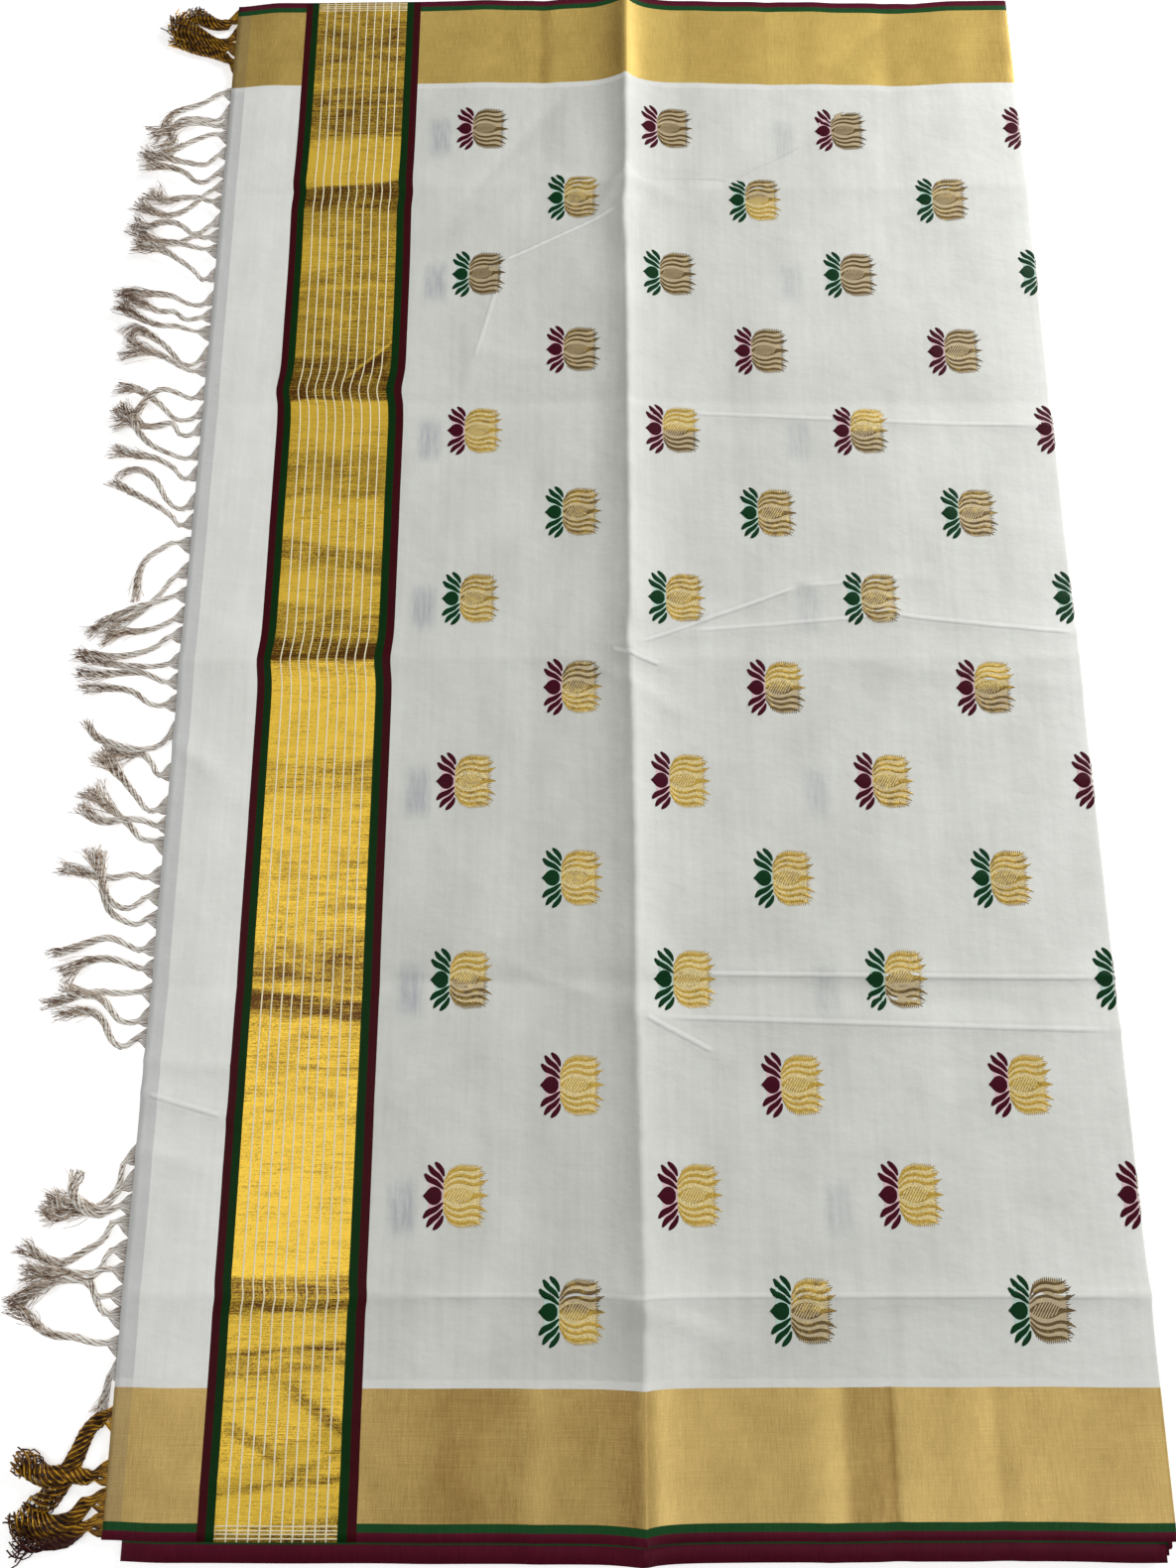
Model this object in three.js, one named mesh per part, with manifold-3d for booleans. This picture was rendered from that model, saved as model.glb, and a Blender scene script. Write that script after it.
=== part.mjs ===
// A saree folded into nine stretches and laid flat, its fringed pallu end uppermost.
// Millimetres. X runs along the cloth's length, from the cut pallu edge to the fold,
// Y runs across it from the near selvage to the far one, and Z is up.
// The origin is on the flat underside, halfway between the selvages and on the middle ridge.
import * as THREE from 'three';
import Module from 'manifold-3d';

const wasm = await Module();
wasm.setup();

// The cloth, folded
const CLOTH_WIDTH = 1200; // selvage to selvage
const PALLU_EDGE_X = -340; // cut edge of the top stretch
const FOLD_X = 336; // the fold at the other end
const BORDER_WIDTH = 89; // zari border with its green and maroon selvage
const WALL = 1; // one stretch of cloth
const GAP = 0.3; // between stretches that lie on each other
const FAR_Y = CLOTH_WIDTH / 2;
const NEAR_Y = -FAR_Y;
const BORDER_Y = FAR_Y - BORDER_WIDTH;

// The top stretch turns round the fold and tucks in under itself
const FOLD_RADIUS = 2.5;
const TUCK = 4.5;
const FOLD_STEPS = 4;
const FOLD_CENTRE_X = FOLD_X - FOLD_RADIUS;

// The second stretch lies further towards the near side and is a little shorter
const SECOND_SHIFT_Y = -12;
const SECOND_LEFT_X = -327;
const SECOND_RIGHT_X = 328;

// Height of the top face over the floor, along the cloth's length
const LIE = [
  { at: PALLU_EDGE_X, height: 4.8 },
  { at: -300, height: 8.2 },
  { at: -180, height: 10 },
  { at: -60, height: 10.5 },
  { at: 60, height: 9.6 },
  { at: 250, height: 8.4 },
  { at: FOLD_X, height: 11 },
];

// The long ridge left by folding the stack in half, higher towards the far side
const RIDGE_RISE = [
  { at: NEAR_Y, height: 10 },
  { at: -100, height: 8 },
  { at: 250, height: 9 },
  { at: FAR_Y, height: 13 },
];
const RIDGE_LEFT_SLOPE = 26;
const RIDGE_RIGHT_SLOPE = 15;

// Creases across the cloth, from its second folding: ridges and troughs in turn
const CREASES = [
  { y: 405, rise: 2.2, slope: 16 },
  { y: 204, rise: -1.8, slope: 14 },
  { y: -14, rise: 2.4, slope: 18 },
  { y: -255, rise: -1.6, slope: 14 },
  { y: -456, rise: 2, slope: 15 },
];
const CREASE_HALF = 14; // from a crease to the lines drawn on each side of it

// Lines of the grid that carries the surface, between the crease lines
const COLUMNS = [
  PALLU_EDGE_X, SECOND_LEFT_X, -303, -278, -228, -181, -130, -80, -45, -22, -8,
  0, 8, 22, 45, 90, 150, 210, 270, 310, SECOND_RIGHT_X,
];
const PLAIN_ROWS = [540, 500, 330, 270, 130, 70, -90, -170, -330, -390, -510, -550];
const ROWS = [
  ...PLAIN_ROWS,
  ...CREASES.flatMap(({ y }) => [y - CREASE_HALF, y, y + CREASE_HALF]),
].sort((a, b) => a - b);

// Hidden layers from the floor up, and how far each stands back from the full outline
const HIDDEN_LAYERS = [
  { near: 4, far: 9, left: 5, right: 1 },
  { near: 8, far: 3, left: 1, right: 3 },
  { near: 2, far: 7, left: 6, right: 0 },
  { near: 6, far: 2, left: 2, right: 2 },
  { near: 1, far: 6, left: 4, right: 7 },
  { near: 5, far: 1, left: 1, right: 8 },
  { near: 3, far: 4, left: 3, right: 7 },
];
const HIDDEN_LEFT_X = -325;
const HIDDEN_RIGHT_X = 335;
const HIDDEN_SHIFT_NEAR_Y = -8;
const HIDDEN_SHIFT_FAR_Y = -6;
const GROOVE = 1.4; // depth between two layers' edges

// The fringe: bunches of tassels, each with the roots of its first and last tassel along the
// cut edge, the middle of its tips, the distance between them, and how far they reach
const STRIP_WIDTH = 2.2;
const ROOT_WIDTH = 13.5;
const ZARI_FAR_BUNCHES = [
  { first: 590, last: 522, count: 4, tip: 578, spread: 11, reach: 58 },
];
const WHITE_BUNCHES = [
  { first: 503, last: 440, count: 5, tip: 458, spread: 9, reach: 68 },
  { first: 424, last: 392, count: 3, tip: 411, spread: 10, reach: 69 },
  { first: 376, last: 322, count: 4, tip: 362, spread: 6, reach: 68 },
  { first: 304, last: 272, count: 3, tip: 302, spread: 6, reach: 76 },
  { first: 253, last: 222, count: 3, tip: 256, spread: 12, reach: 68 },
  { first: 204, last: 144, count: 4, tip: 186, spread: 12, reach: 68 },
  { first: 121, last: 101, count: 2, tip: 138, spread: 6, reach: 66 },
  { first: 81, last: 27, count: 4, tip: 20, spread: 8, reach: 63 },
  { first: 11, last: -6, count: 2, tip: -8, spread: 6, reach: 76 },
  { first: -28, last: -46, count: 2, tip: -27, spread: 9, reach: 76 },
  { first: -68, last: -68, count: 1, tip: -60, spread: 0, reach: 66 },
  { first: -88, last: -125, count: 3, tip: -94, spread: 9, reach: 60 },
  { first: -142, last: -159, count: 2, tip: -119, spread: 6, reach: 62 },
  { first: -176, last: -208, count: 3, tip: -172, spread: 10, reach: 62 },
  { first: -228, last: -244, count: 2, tip: -234, spread: 6, reach: 72 },
  { first: -261, last: -294, count: 3, tip: -267, spread: 7, reach: 70 },
  { first: -366, last: -401, count: 3, tip: -396, spread: 8, reach: 58 },
  { first: -416, last: -490, count: 5, tip: -444, spread: 10, reach: 74 },
];
const ZARI_NEAR_BUNCHES = [
  { first: -521, last: -592, count: 4, tip: -580, spread: 12, reach: 58 },
];
const WHITE_END_Y = BORDER_Y - GAP / 2;
const ZARI_END_Y = BORDER_Y + GAP / 2;
const FRINGES = [
  {
    name: 'fringe_zari_far', nearY: ZARI_END_Y, farY: FAR_Y,
    finish: 'zari', bunches: ZARI_FAR_BUNCHES,
  },
  {
    name: 'fringe_white', nearY: -WHITE_END_Y, farY: WHITE_END_Y,
    finish: 'yarn', bunches: WHITE_BUNCHES,
  },
  {
    name: 'fringe_zari_near', nearY: NEAR_Y, farY: -ZARI_END_Y,
    finish: 'zari', bunches: ZARI_NEAR_BUNCHES,
  },
];

// One tassel from its root to its tip: share of the reach, width, thickness, and how far it
// has dropped from the cloth's edge to the floor
const TASSEL = [
  { along: -0.01, width: ROOT_WIDTH, thick: 0.8, drop: 0 },
  { along: 0.1, width: 7, thick: 1.4, drop: 0.15 },
  { along: 0.17, width: 2.4, thick: 2, drop: 0.4 },
  { along: 0.21, width: 3.8, thick: 2.6, drop: 0.55 },
  { along: 0.26, width: 2.6, thick: 1.8, drop: 0.7 },
  { along: 0.44, width: 3.2, thick: 1.8, drop: 0.95 },
  { along: 0.64, width: 3.4, thick: 1.8, drop: 0.8 },
  { along: 0.84, width: 3.4, thick: 1.8, drop: 0.9 },
  { along: 1, width: 2.4, thick: 1.4, drop: 1 },
];
const TASSEL_FLOOR = 1.4; // height of a tail's middle where it lies
const TASSEL_SWAY = 2.6;
const REACH_CHANGE = [0, -7, -3, -10, -5];

// Finishes
const FINISHES = {
  cotton: { color: '#dcdde0', roughness: 0.85, metalness: 0 },
  hidden: { color: '#c9c9cc', roughness: 0.9, metalness: 0 },
  yarn: { color: '#d3cfca', roughness: 0.9, metalness: 0 },
  zari: { color: '#a98932', roughness: 0.45, metalness: 0.6 },
};

// Value read between the rows of a table, easing from one row to the next
function between(table, at) {
  if (at <= table[0].at) {
    return table[0].height;
  }
  const after = table.findIndex((row) => row.at >= at);
  if (after < 0) {
    return table[table.length - 1].height;
  }
  const low = table[after - 1];
  const high = table[after];
  const share = (at - low.at) / (high.at - low.at);
  const eased = share * share * (3 - 2 * share);
  return low.height + (high.height - low.height) * eased;
}

function ridgeHeight(x, y) {
  const slope = x < 0 ? RIDGE_LEFT_SLOPE : RIDGE_RIGHT_SLOPE;
  return between(RIDGE_RISE, y) * Math.exp(-Math.abs(x) / slope);
}

function creaseHeight(y) {
  let height = 0;
  for (const crease of CREASES) {
    height += crease.rise * Math.exp(-Math.abs(y - crease.y) / crease.slope);
  }
  return height;
}

// Height of the top stretch's outer face
function topHeight(x, y) {
  return between(LIE, x) + ridgeHeight(x, y) + creaseHeight(y);
}

function addQuad(index, a, b, c, d) {
  index.push(a, b, c, a, c, d);
}

function geometryFrom(positions, index) {
  const geometry = new THREE.BufferGeometry();
  geometry.setAttribute('position', new THREE.Float32BufferAttribute(positions, 3));
  geometry.setIndex(index);
  geometry.computeVertexNormals();
  return geometry;
}

// A closed wall of cloth from lines of points, each with an outer and an inner place
function wallGeometry(lines) {
  const positions = lines.flat().flatMap((point) => [...point.outer, ...point.inner]);
  const width = lines[0].length;
  const lastLine = lines.length - 1;
  const lastPoint = width - 1;
  const outer = (line, point) => 2 * (line * width + point);
  const inner = (line, point) => outer(line, point) + 1;
  const index = [];
  const quad = (a, b, c, d) => addQuad(index, a, b, c, d);
  for (let line = 0; line < lastLine; line += 1) {
    const up = line + 1;
    for (let point = 0; point < lastPoint; point += 1) {
      const next = point + 1;
      quad(outer(line, point), outer(line, next), outer(up, next), outer(up, point));
      quad(inner(line, point), inner(up, point), inner(up, next), inner(line, next));
    }
    quad(inner(line, 0), outer(line, 0), outer(up, 0), inner(up, 0));
    quad(outer(line, lastPoint), inner(line, lastPoint), inner(up, lastPoint), outer(up, lastPoint));
  }
  for (let point = 0; point < lastPoint; point += 1) {
    const next = point + 1;
    quad(inner(0, point), inner(0, next), outer(0, next), outer(0, point));
    quad(outer(lastLine, point), outer(lastLine, next), inner(lastLine, next), inner(lastLine, point));
  }
  return geometryFrom(positions, index);
}

// One point of a wall that lies flat, a given depth below the top face
function flatPoint(x, y, depth) {
  const height = topHeight(x, y) - depth;
  return { outer: [x, y, height], inner: [x, y, height - WALL] };
}

function topStretchGeometry() {
  const lines = [NEAR_Y, ...ROWS, FAR_Y].map((y) => {
    const line = [...COLUMNS, FOLD_CENTRE_X].map((x) => flatPoint(x, y, 0));
    const centreZ = topHeight(FOLD_CENTRE_X, y) - FOLD_RADIUS;
    const onFold = (radius, turn) => [
      FOLD_CENTRE_X + radius * Math.sin(turn), y, centreZ + radius * Math.cos(turn),
    ];
    const innerRadius = FOLD_RADIUS - WALL;
    for (let step = 1; step <= FOLD_STEPS; step += 1) {
      const turn = (Math.PI * step) / FOLD_STEPS;
      line.push({ outer: onFold(FOLD_RADIUS, turn), inner: onFold(innerRadius, turn) });
    }
    const tuckX = FOLD_CENTRE_X - TUCK;
    line.push({
      outer: [tuckX, y, centreZ - FOLD_RADIUS],
      inner: [tuckX, y, centreZ - innerRadius],
    });
    return line;
  });
  return wallGeometry(lines);
}

function secondStretchGeometry() {
  const columns = COLUMNS.filter((x) => x >= SECOND_LEFT_X && x <= SECOND_RIGHT_X);
  const lines = [NEAR_Y + SECOND_SHIFT_Y, NEAR_Y, ...ROWS, FAR_Y + SECOND_SHIFT_Y].map((y) =>
    columns.map((x) => flatPoint(x, y, WALL + GAP)));
  return wallGeometry(lines);
}

// The hidden stretches: a cap that follows the cloth above, a flat underside, and sides with
// a rounded edge for each layer
function foldedLayersGeometry() {
  const inside = COLUMNS.filter((x) => x > HIDDEN_LEFT_X && x < SECOND_RIGHT_X);
  const columns = [HIDDEN_LEFT_X, ...inside, HIDDEN_RIGHT_X];
  const rows = [NEAR_Y + HIDDEN_SHIFT_NEAR_Y, ...ROWS, FAR_Y + HIDDEN_SHIFT_FAR_Y];
  const lastColumn = columns.length - 1;
  const lastRow = rows.length - 1;
  const coverDepth = 2 * (WALL + GAP);
  const place = (column, row, back, level) => {
    let x = columns[column];
    let y = rows[row];
    x += column === 0 ? back.left : 0;
    x -= column === lastColumn ? back.right : 0;
    y += row === 0 ? back.near : 0;
    y -= row === lastRow ? back.far : 0;
    return [x, y, (topHeight(x, y) - coverDepth) * level];
  };
  const deeper = (layer) => ({
    near: layer.near + GROOVE,
    far: layer.far + GROOVE,
    left: layer.left + GROOVE,
    right: layer.right + GROOVE,
  });

  // Round the outline once, near side first, anticlockwise seen from above
  const columnNumbers = columns.slice(1).map((_, column) => column);
  const rowNumbers = rows.slice(1).map((_, row) => row);
  const outline = [
    ...columnNumbers.map((column) => [column, 0]),
    ...rowNumbers.map((row) => [lastColumn, row]),
    ...columnNumbers.map((column) => [lastColumn - column, lastRow]),
    ...rowNumbers.map((row) => [0, lastRow - row]),
  ];

  const positions = [];
  const index = [];
  const quad = (a, b, c, d) => addQuad(index, a, b, c, d);
  const rings = [{ back: deeper(HIDDEN_LAYERS[0]), level: 0 }];
  HIDDEN_LAYERS.forEach((layer, number) => {
    rings.push({ back: layer, level: (number + 0.5) / HIDDEN_LAYERS.length });
    rings.push({ back: deeper(layer), level: (number + 1) / HIDDEN_LAYERS.length });
  });
  for (const { back, level } of rings) {
    positions.push(...outline.flatMap(([column, row]) => place(column, row, back, level)));
  }
  const around = outline.length;
  for (let ring = 0; ring < rings.length - 1; ring += 1) {
    for (let step = 0; step < around; step += 1) {
      const next = (step + 1) % around;
      const low = ring * around;
      const high = low + around;
      quad(low + step, low + next, high + next, high + step);
    }
  }

  // Flat underside, a fan from its middle
  const middle = positions.length / 3;
  positions.push(0, 0, 0);
  for (let step = 0; step < around; step += 1) {
    index.push(middle, (step + 1) % around, step);
  }

  // Cap over the top ring
  const topBack = rings[rings.length - 1].back;
  const capIndex = new Map();
  const topRing = (rings.length - 1) * around;
  outline.forEach(([column, row], step) => {
    capIndex.set(`${column},${row}`, topRing + step);
  });
  for (let row = 1; row < lastRow; row += 1) {
    for (let column = 1; column < lastColumn; column += 1) {
      capIndex.set(`${column},${row}`, positions.length / 3);
      positions.push(...place(column, row, topBack, 1));
    }
  }
  for (let row = 0; row < lastRow; row += 1) {
    for (let column = 0; column < lastColumn; column += 1) {
      const corner = (right, up) => capIndex.get(`${column + right},${row + up}`);
      quad(corner(0, 0), corner(1, 0), corner(1, 1), corner(0, 1));
    }
  }
  return geometryFrom(positions, index);
}

// The narrow strip that carries a fringe, just off the cloth's cut edge
function stripGeometry(nearY, farY) {
  const right = PALLU_EDGE_X - GAP;
  const inside = ROWS.filter((y) => y > nearY && y < farY);
  const lines = [nearY, ...inside, farY].map((y) =>
    [right - STRIP_WIDTH, right].map((x) => {
      const height = topHeight(PALLU_EDGE_X, y);
      return { outer: [x, y, height], inner: [x, y, height - WALL] };
    }));
  return wallGeometry(lines);
}

// A tassel: the threads gathered to a knot, then a loose four-sided tail
function tasselGeometry(root, tip, reach, sway) {
  const rootX = PALLU_EDGE_X - GAP - STRIP_WIDTH;
  const rootZ = topHeight(PALLU_EDGE_X, root) - WALL / 2;
  const lines = TASSEL.map(({ along, width, thick, drop }) => {
    const share = Math.max(along, 0);
    const eased = share * share * (3 - 2 * share);
    const x = rootX - reach * along;
    const y = root + (tip - root) * eased + sway * Math.sin(2 * Math.PI * share);
    const z = rootZ + (TASSEL_FLOOR - rootZ) * drop;
    return [y - width / 2, y + width / 2].map((side) => (
      { outer: [x, side, z + thick / 2], inner: [x, side, z - thick / 2] }));
  });
  return wallGeometry(lines);
}

function solidFrom(geometry) {
  const mesh = new wasm.Mesh({
    numProp: 3,
    vertProperties: geometry.getAttribute('position').array,
    triVerts: new Uint32Array(geometry.getIndex().array),
  });
  return new wasm.Manifold(mesh);
}

function fringeGeometry(bunches, nearY, farY) {
  let solid = solidFrom(stripGeometry(nearY, farY));
  let number = 0;
  for (const { first, last, count, tip, spread, reach } of bunches) {
    for (let tassel = 0; tassel < count; tassel += 1) {
      const share = count > 1 ? tassel / (count - 1) : 0;
      const root = first + (last - first) * share;
      const end = tip - (tassel - (count - 1) / 2) * spread;
      const length = reach + REACH_CHANGE[number % REACH_CHANGE.length];
      const sway = number % 2 === 0 ? TASSEL_SWAY : -TASSEL_SWAY;
      solid = solid.add(solidFrom(tasselGeometry(root, end, length, sway)));
      number += 1;
    }
  }
  const mesh = solid.getMesh();
  return geometryFrom(Array.from(mesh.vertProperties), Array.from(mesh.triVerts));
}

const saree = new THREE.Group();

function addPiece(name, geometry, finish) {
  const mesh = new THREE.Mesh(geometry, new THREE.MeshStandardMaterial(FINISHES[finish]));
  mesh.name = name;
  saree.add(mesh);
}

addPiece('top_stretch', topStretchGeometry(), 'cotton');
addPiece('second_stretch', secondStretchGeometry(), 'cotton');
addPiece('folded_layers', foldedLayersGeometry(), 'hidden');
for (const { name, nearY, farY, finish, bunches } of FRINGES) {
  addPiece(name, fringeGeometry(bunches, nearY, farY), finish);
}

export default saree;
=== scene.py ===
# %% [markdown]
# # A folded saree, laid flat
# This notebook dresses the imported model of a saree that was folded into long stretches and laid
# flat. The model gives every size. Here the cloth gets its creases, its woven colours, its gold
# thread, the lotus motifs and the loose yarns of its fringe.

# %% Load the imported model
import math

import bpy
import numpy as np
from mathutils import Matrix, Vector


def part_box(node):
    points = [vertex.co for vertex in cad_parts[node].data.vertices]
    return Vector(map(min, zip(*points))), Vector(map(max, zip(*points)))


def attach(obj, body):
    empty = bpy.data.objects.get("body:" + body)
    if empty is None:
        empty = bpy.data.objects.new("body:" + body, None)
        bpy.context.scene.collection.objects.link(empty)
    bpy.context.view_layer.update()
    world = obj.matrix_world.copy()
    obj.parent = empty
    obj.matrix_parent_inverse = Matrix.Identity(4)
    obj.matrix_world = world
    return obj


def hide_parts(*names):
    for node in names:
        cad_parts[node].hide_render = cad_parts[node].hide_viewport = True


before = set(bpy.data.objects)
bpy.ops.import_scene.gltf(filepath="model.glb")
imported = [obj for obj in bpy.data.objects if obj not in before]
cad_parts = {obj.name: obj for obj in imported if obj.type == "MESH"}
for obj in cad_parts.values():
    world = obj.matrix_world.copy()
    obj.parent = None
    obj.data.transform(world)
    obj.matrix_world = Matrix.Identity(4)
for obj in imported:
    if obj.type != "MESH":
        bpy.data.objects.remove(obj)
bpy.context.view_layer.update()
bpy.ops.object.select_all(action="DESELECT")
print("nodes:", ", ".join(sorted(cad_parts)))

# %% [markdown]
# ## The camera and the light
# The photo was taken from just above the near end, looking almost straight down. The camera's
# place and tilt come from the even grid of woven motifs, whose real spacing is known. A camera
# can also be moved by eye until the view fits, but a place that is worked out needs no guesses.
# One lamp is low and strong, because white cloth shows its creases only by their shading.

# %% Sizes that everything uses
MM = 0.001
cloth_low, cloth_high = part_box("top_stretch")
second_low, second_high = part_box("second_stretch")
LEFT, RIGHT = cloth_low[0] / MM, cloth_high[0] / MM
NEAR, FAR = cloth_low[1] / MM, cloth_high[1] / MM
SECOND_LEFT, SECOND_RIGHT = second_low[0] / MM, second_high[0] / MM
SECOND_NEAR, SECOND_FAR = second_low[1] / MM, second_high[1] / MM
print(f"top stretch {RIGHT - LEFT:.0f} by {FAR - NEAR:.0f} mm")

# %% Camera
PHOTO_HEIGHT_PX = 1580
FOCAL_PX = 1187
SENSOR_MM = 36
camera_data = bpy.data.cameras.new("camera")
camera_data.sensor_width = SENSOR_MM
camera_data.lens = FOCAL_PX / PHOTO_HEIGHT_PX * SENSOR_MM
camera = bpy.data.objects.new("camera", camera_data)
bpy.context.scene.collection.objects.link(camera)
camera.location = Vector((-33.7, -324.3, 841.5)) * MM
camera_right = Vector((1, -0.0013, 0.0008))
camera_up = Vector((0.0011, 0.9685, 0.2492))
camera_back = camera_right.cross(camera_up)
turn = Matrix((camera_right, camera_up, camera_back)).transposed()
camera.rotation_euler = turn.to_euler()
bpy.context.scene.camera = camera
print("lens", round(camera_data.lens, 2), "mm")


# %% Soft studio light
def soft_light(name, place, aim, size, watts):
    """A large lamp that points at aim. Its numbers are metres and watts."""
    lamp = bpy.data.lights.new(name, "AREA")
    lamp.shape = "RECTANGLE"
    lamp.size, lamp.size_y = size
    lamp.energy = watts
    holder = bpy.data.objects.new(name, lamp)
    bpy.context.scene.collection.objects.link(holder)
    holder.location = place
    direction = Vector(aim) - Vector(place)
    holder.rotation_euler = direction.to_track_quat("-Z", "Y").to_euler()


# The key casts the shading. The others fill in, each from its own side
soft_light("key", (1.5, 1.2, 0.95), (0, 0, 0), (0.6, 0.8), 33)
soft_light("window", (-0.65, -0.2, 1.9), (-0.15, 0, 0), (1.2, 1.4), 8)
soft_light("near", (0.8, -1.3, 1.3), (0.1, -0.3, 0), (1.2, 0.6), 5)
soft_light("left", (-1.7, -0.45, 1.0), (-0.3, -0.1, 0), (0.6, 1.4), 6.5)
soft_light("far", (-0.35, 2.0, 1.15), (-0.2, 0.3, 0), (1.2, 0.7), 1.1)
AIR_COLOUR = (1, 1, 0.98, 1)
AIR_STRENGTH = 0.18
world = bpy.data.worlds.new("studio")
bpy.context.scene.world = world
world.use_nodes = True
air = world.node_tree.nodes["Background"]
air.inputs["Color"].default_value = AIR_COLOUR
air.inputs["Strength"].default_value = AIR_STRENGTH
bpy.context.scene.view_settings.view_transform = "Standard"

# %% [markdown]
# ## How the cloth lies
# The stack of stretches is thin and soft. Along its length it swells a little, it drops at the
# cut pallu edge, and a long ridge runs down its middle where the stack was once doubled. Creases
# cross it where it was folded again. A cloth simulation could drop the cloth on the floor, but
# this cloth is pressed flat, and its creases are few and known by place. So all of it is one
# height, worked out for any point, and every piece laid on the cloth follows the same form.

# %% Heights of the top face, in millimetres
# The stack's height along X, and the rise of the ridge along Y
LIE = [(-340, 4.8), (-300, 8.2), (-180, 10), (-60, 10.5), (60, 9.6), (250, 8.4), (336, 11)]
RIDGE_RISE = [(-600, 10), (-100, 8), (250, 9), (600, 13)]
RIDGE_LEFT_SLOPE, RIDGE_RIGHT_SLOPE = 26, 15
# Creases across the cloth: where, how high, how wide
CREASES = [(405, 2.2, 16), (204, -1.8, 14), (-14, 2.4, 18), (-255, -1.6, 14), (-456, 2, 15)]


def between(table, at):
    """Reads a table of (place, value) rows, easing from one row to the next."""
    places = np.array([row[0] for row in table], float)
    values = np.array([row[1] for row in table], float)
    at = np.clip(at, places[0], places[-1])
    after = np.clip(np.searchsorted(places, at), 1, len(places) - 1)
    share = (at - places[after - 1]) / (places[after] - places[after - 1])
    eased = share * share * (3 - 2 * share)
    return values[after - 1] + (values[after] - values[after - 1]) * eased


def bell(distance, width):
    """1 at no distance, falling to nothing over a few widths."""
    return np.exp(-((distance / width) ** 2))


def plain_height(x, y):
    """The height that the model's solids have."""
    slope = np.where(x < 0, RIDGE_LEFT_SLOPE, RIDGE_RIGHT_SLOPE)
    height = between(LIE, x) + between(RIDGE_RISE, y) * np.exp(-np.abs(x) / slope)
    for crease_y, rise, width in CREASES:
        height = height + rise * np.exp(-np.abs(y - crease_y) / width)
    return height


# %% Small creases, each from one point to another, with its rise and half width
SMALL_CREASES = [
    ((-105, 330), (-6, 380), 3.6, 5),
    ((-142, 358), (-96, 388), 1.5, 6),
    ((-102, 328), (-126, 232), 1.4, 5),
    ((-62, 414), (-4, 402), 1.8, 5),
    ((-20, 384), (-2, 414), 2.1, 4),
    ((4, 410), (38, 394), 2.2, 5),
    ((10, 414), (86, 414), -2.1, 6),
    ((86, 414), (150, 452), -2.4, 7),
    ((134, 458), (226, 502), -2.1, 9),
    ((-66, 484), (-124, 408), -2.1, 10),
    ((196, 368), (300, 412), 2.4, 9),
    ((226, 340), (322, 386), 1.8, 10),
    ((200, 250), (330, 330), 1.5, 12),
    ((-95, 200), (-30, 206), -1.4, 5),
    ((-120, 250), (-60, 236), 1.4, 8),
    ((10, 196), (334, 182), 1.8, 5),
    ((2, -4), (60, 22), 2.7, 4),
    ((60, 22), (132, 46), 2.7, 4),
    ((132, 46), (216, 54), 1.4, 5),
    ((42, 6), (196, 22), 1.8, 5),
    ((196, 22), (334, 6), 2.1, 5),
    ((-14, -6), (24, -20), 2.2, 4),
    ((-28, -20), (30, -52), 1.8, 5),
    ((176, -18), (334, -36), 1.2, 6),
    ((-160, -252), (0, -250), -1.4, 7),
    ((4, -246), (334, -250), 2.1, 5),
    ((-76, -246), (-30, -262), 1.8, 5),
    ((4, -274), (56, -302), 2.1, 5),
    ((12, -276), (334, -286), 2.0, 5),
    ((140, -262), (250, -268), -2.1, 9),
    ((-165, -456), (0, -454), 1.2, 5),
    ((10, -458), (334, -456), 1.5, 6),
    ((8, -464), (44, -478), 2.7, 7),
    ((-10, -452), (10, -474), 1.8, 4),
    ((-170, -330), (-110, -300), 1.5, 9),
    ((-336, -306), (-288, -310), 2.1, 4),
    ((-336, -328), (-280, -344), 2.2, 4),
    ((-336, -366), (-290, -376), 1.4, 4),
    ((-338, -78), (-310, -96), 1.8, 5),
    ((-320, -90), (-290, -120), 1.2, 6),
    ((-338, 404), (-282, 402), -1.5, 5),
    ((-275, 412), (-180, 420), 0.8, 4),
    ((-270, -566), (-190, -530), 0.9, 7),
    ((-208, -540), (-178, -566), -0.9, 7),
    ((-264, 100), (-194, 122), 0.9, 6),
    ((-264, 62), (-194, 84), -0.7, 6),
    ((-222, 214), (-182, 262), 0.8, 3),
    ((210, 560), (250, 598), -1.4, 12),
]
# Soft waves that run in from the borders: where along X, their rise, half width and side
BORDER_WAVES = [
    (-120, 0.8, 16, 1), (-70, -0.9, 9, 1), (62, 0.6, 14, 1), (125, -0.8, 9, 1), (165, 0.9, 13, 1),
    (228, -0.7, 10, 1), (282, 0.7, 16, 1), (-140, 0.6, 20, -1), (-66, 0.9, 10, -1),
    (118, 1.0, 9, -1), (162, -1.1, 6, -1), (204, 0.5, 12, -1), (228, -0.8, 6, -1),
    (300, 0.7, 18, -1),
]
WAVE_REACH = 95
# The ridge is pinched at its top, and the cloth dips before it on its left
EDGE_RISE, EDGE_SLOPE = 1.8, 4
DIP, DIP_X, DIP_WIDTH = 0.9, 26, 14
# The top of the ridge doesn't run quite straight: where along Y, and how far to the right.
# Only a share of the ridge moves with it
RIDGE_TOP_SLOPE, RIDGE_TOP_SHARE = 10, 0.4
RIDGE_WANDER = [
    (-600, 3), (-470, 3.5), (-300, 2), (-270, 0.5), (-180, 1.5), (-60, 0), (-20, -1.5), (0, -3),
    (40, -0.5), (330, -1), (378, -3), (400, -1), (440, 0), (600, 0.5),
]
BORDER_INNER = 512


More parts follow.
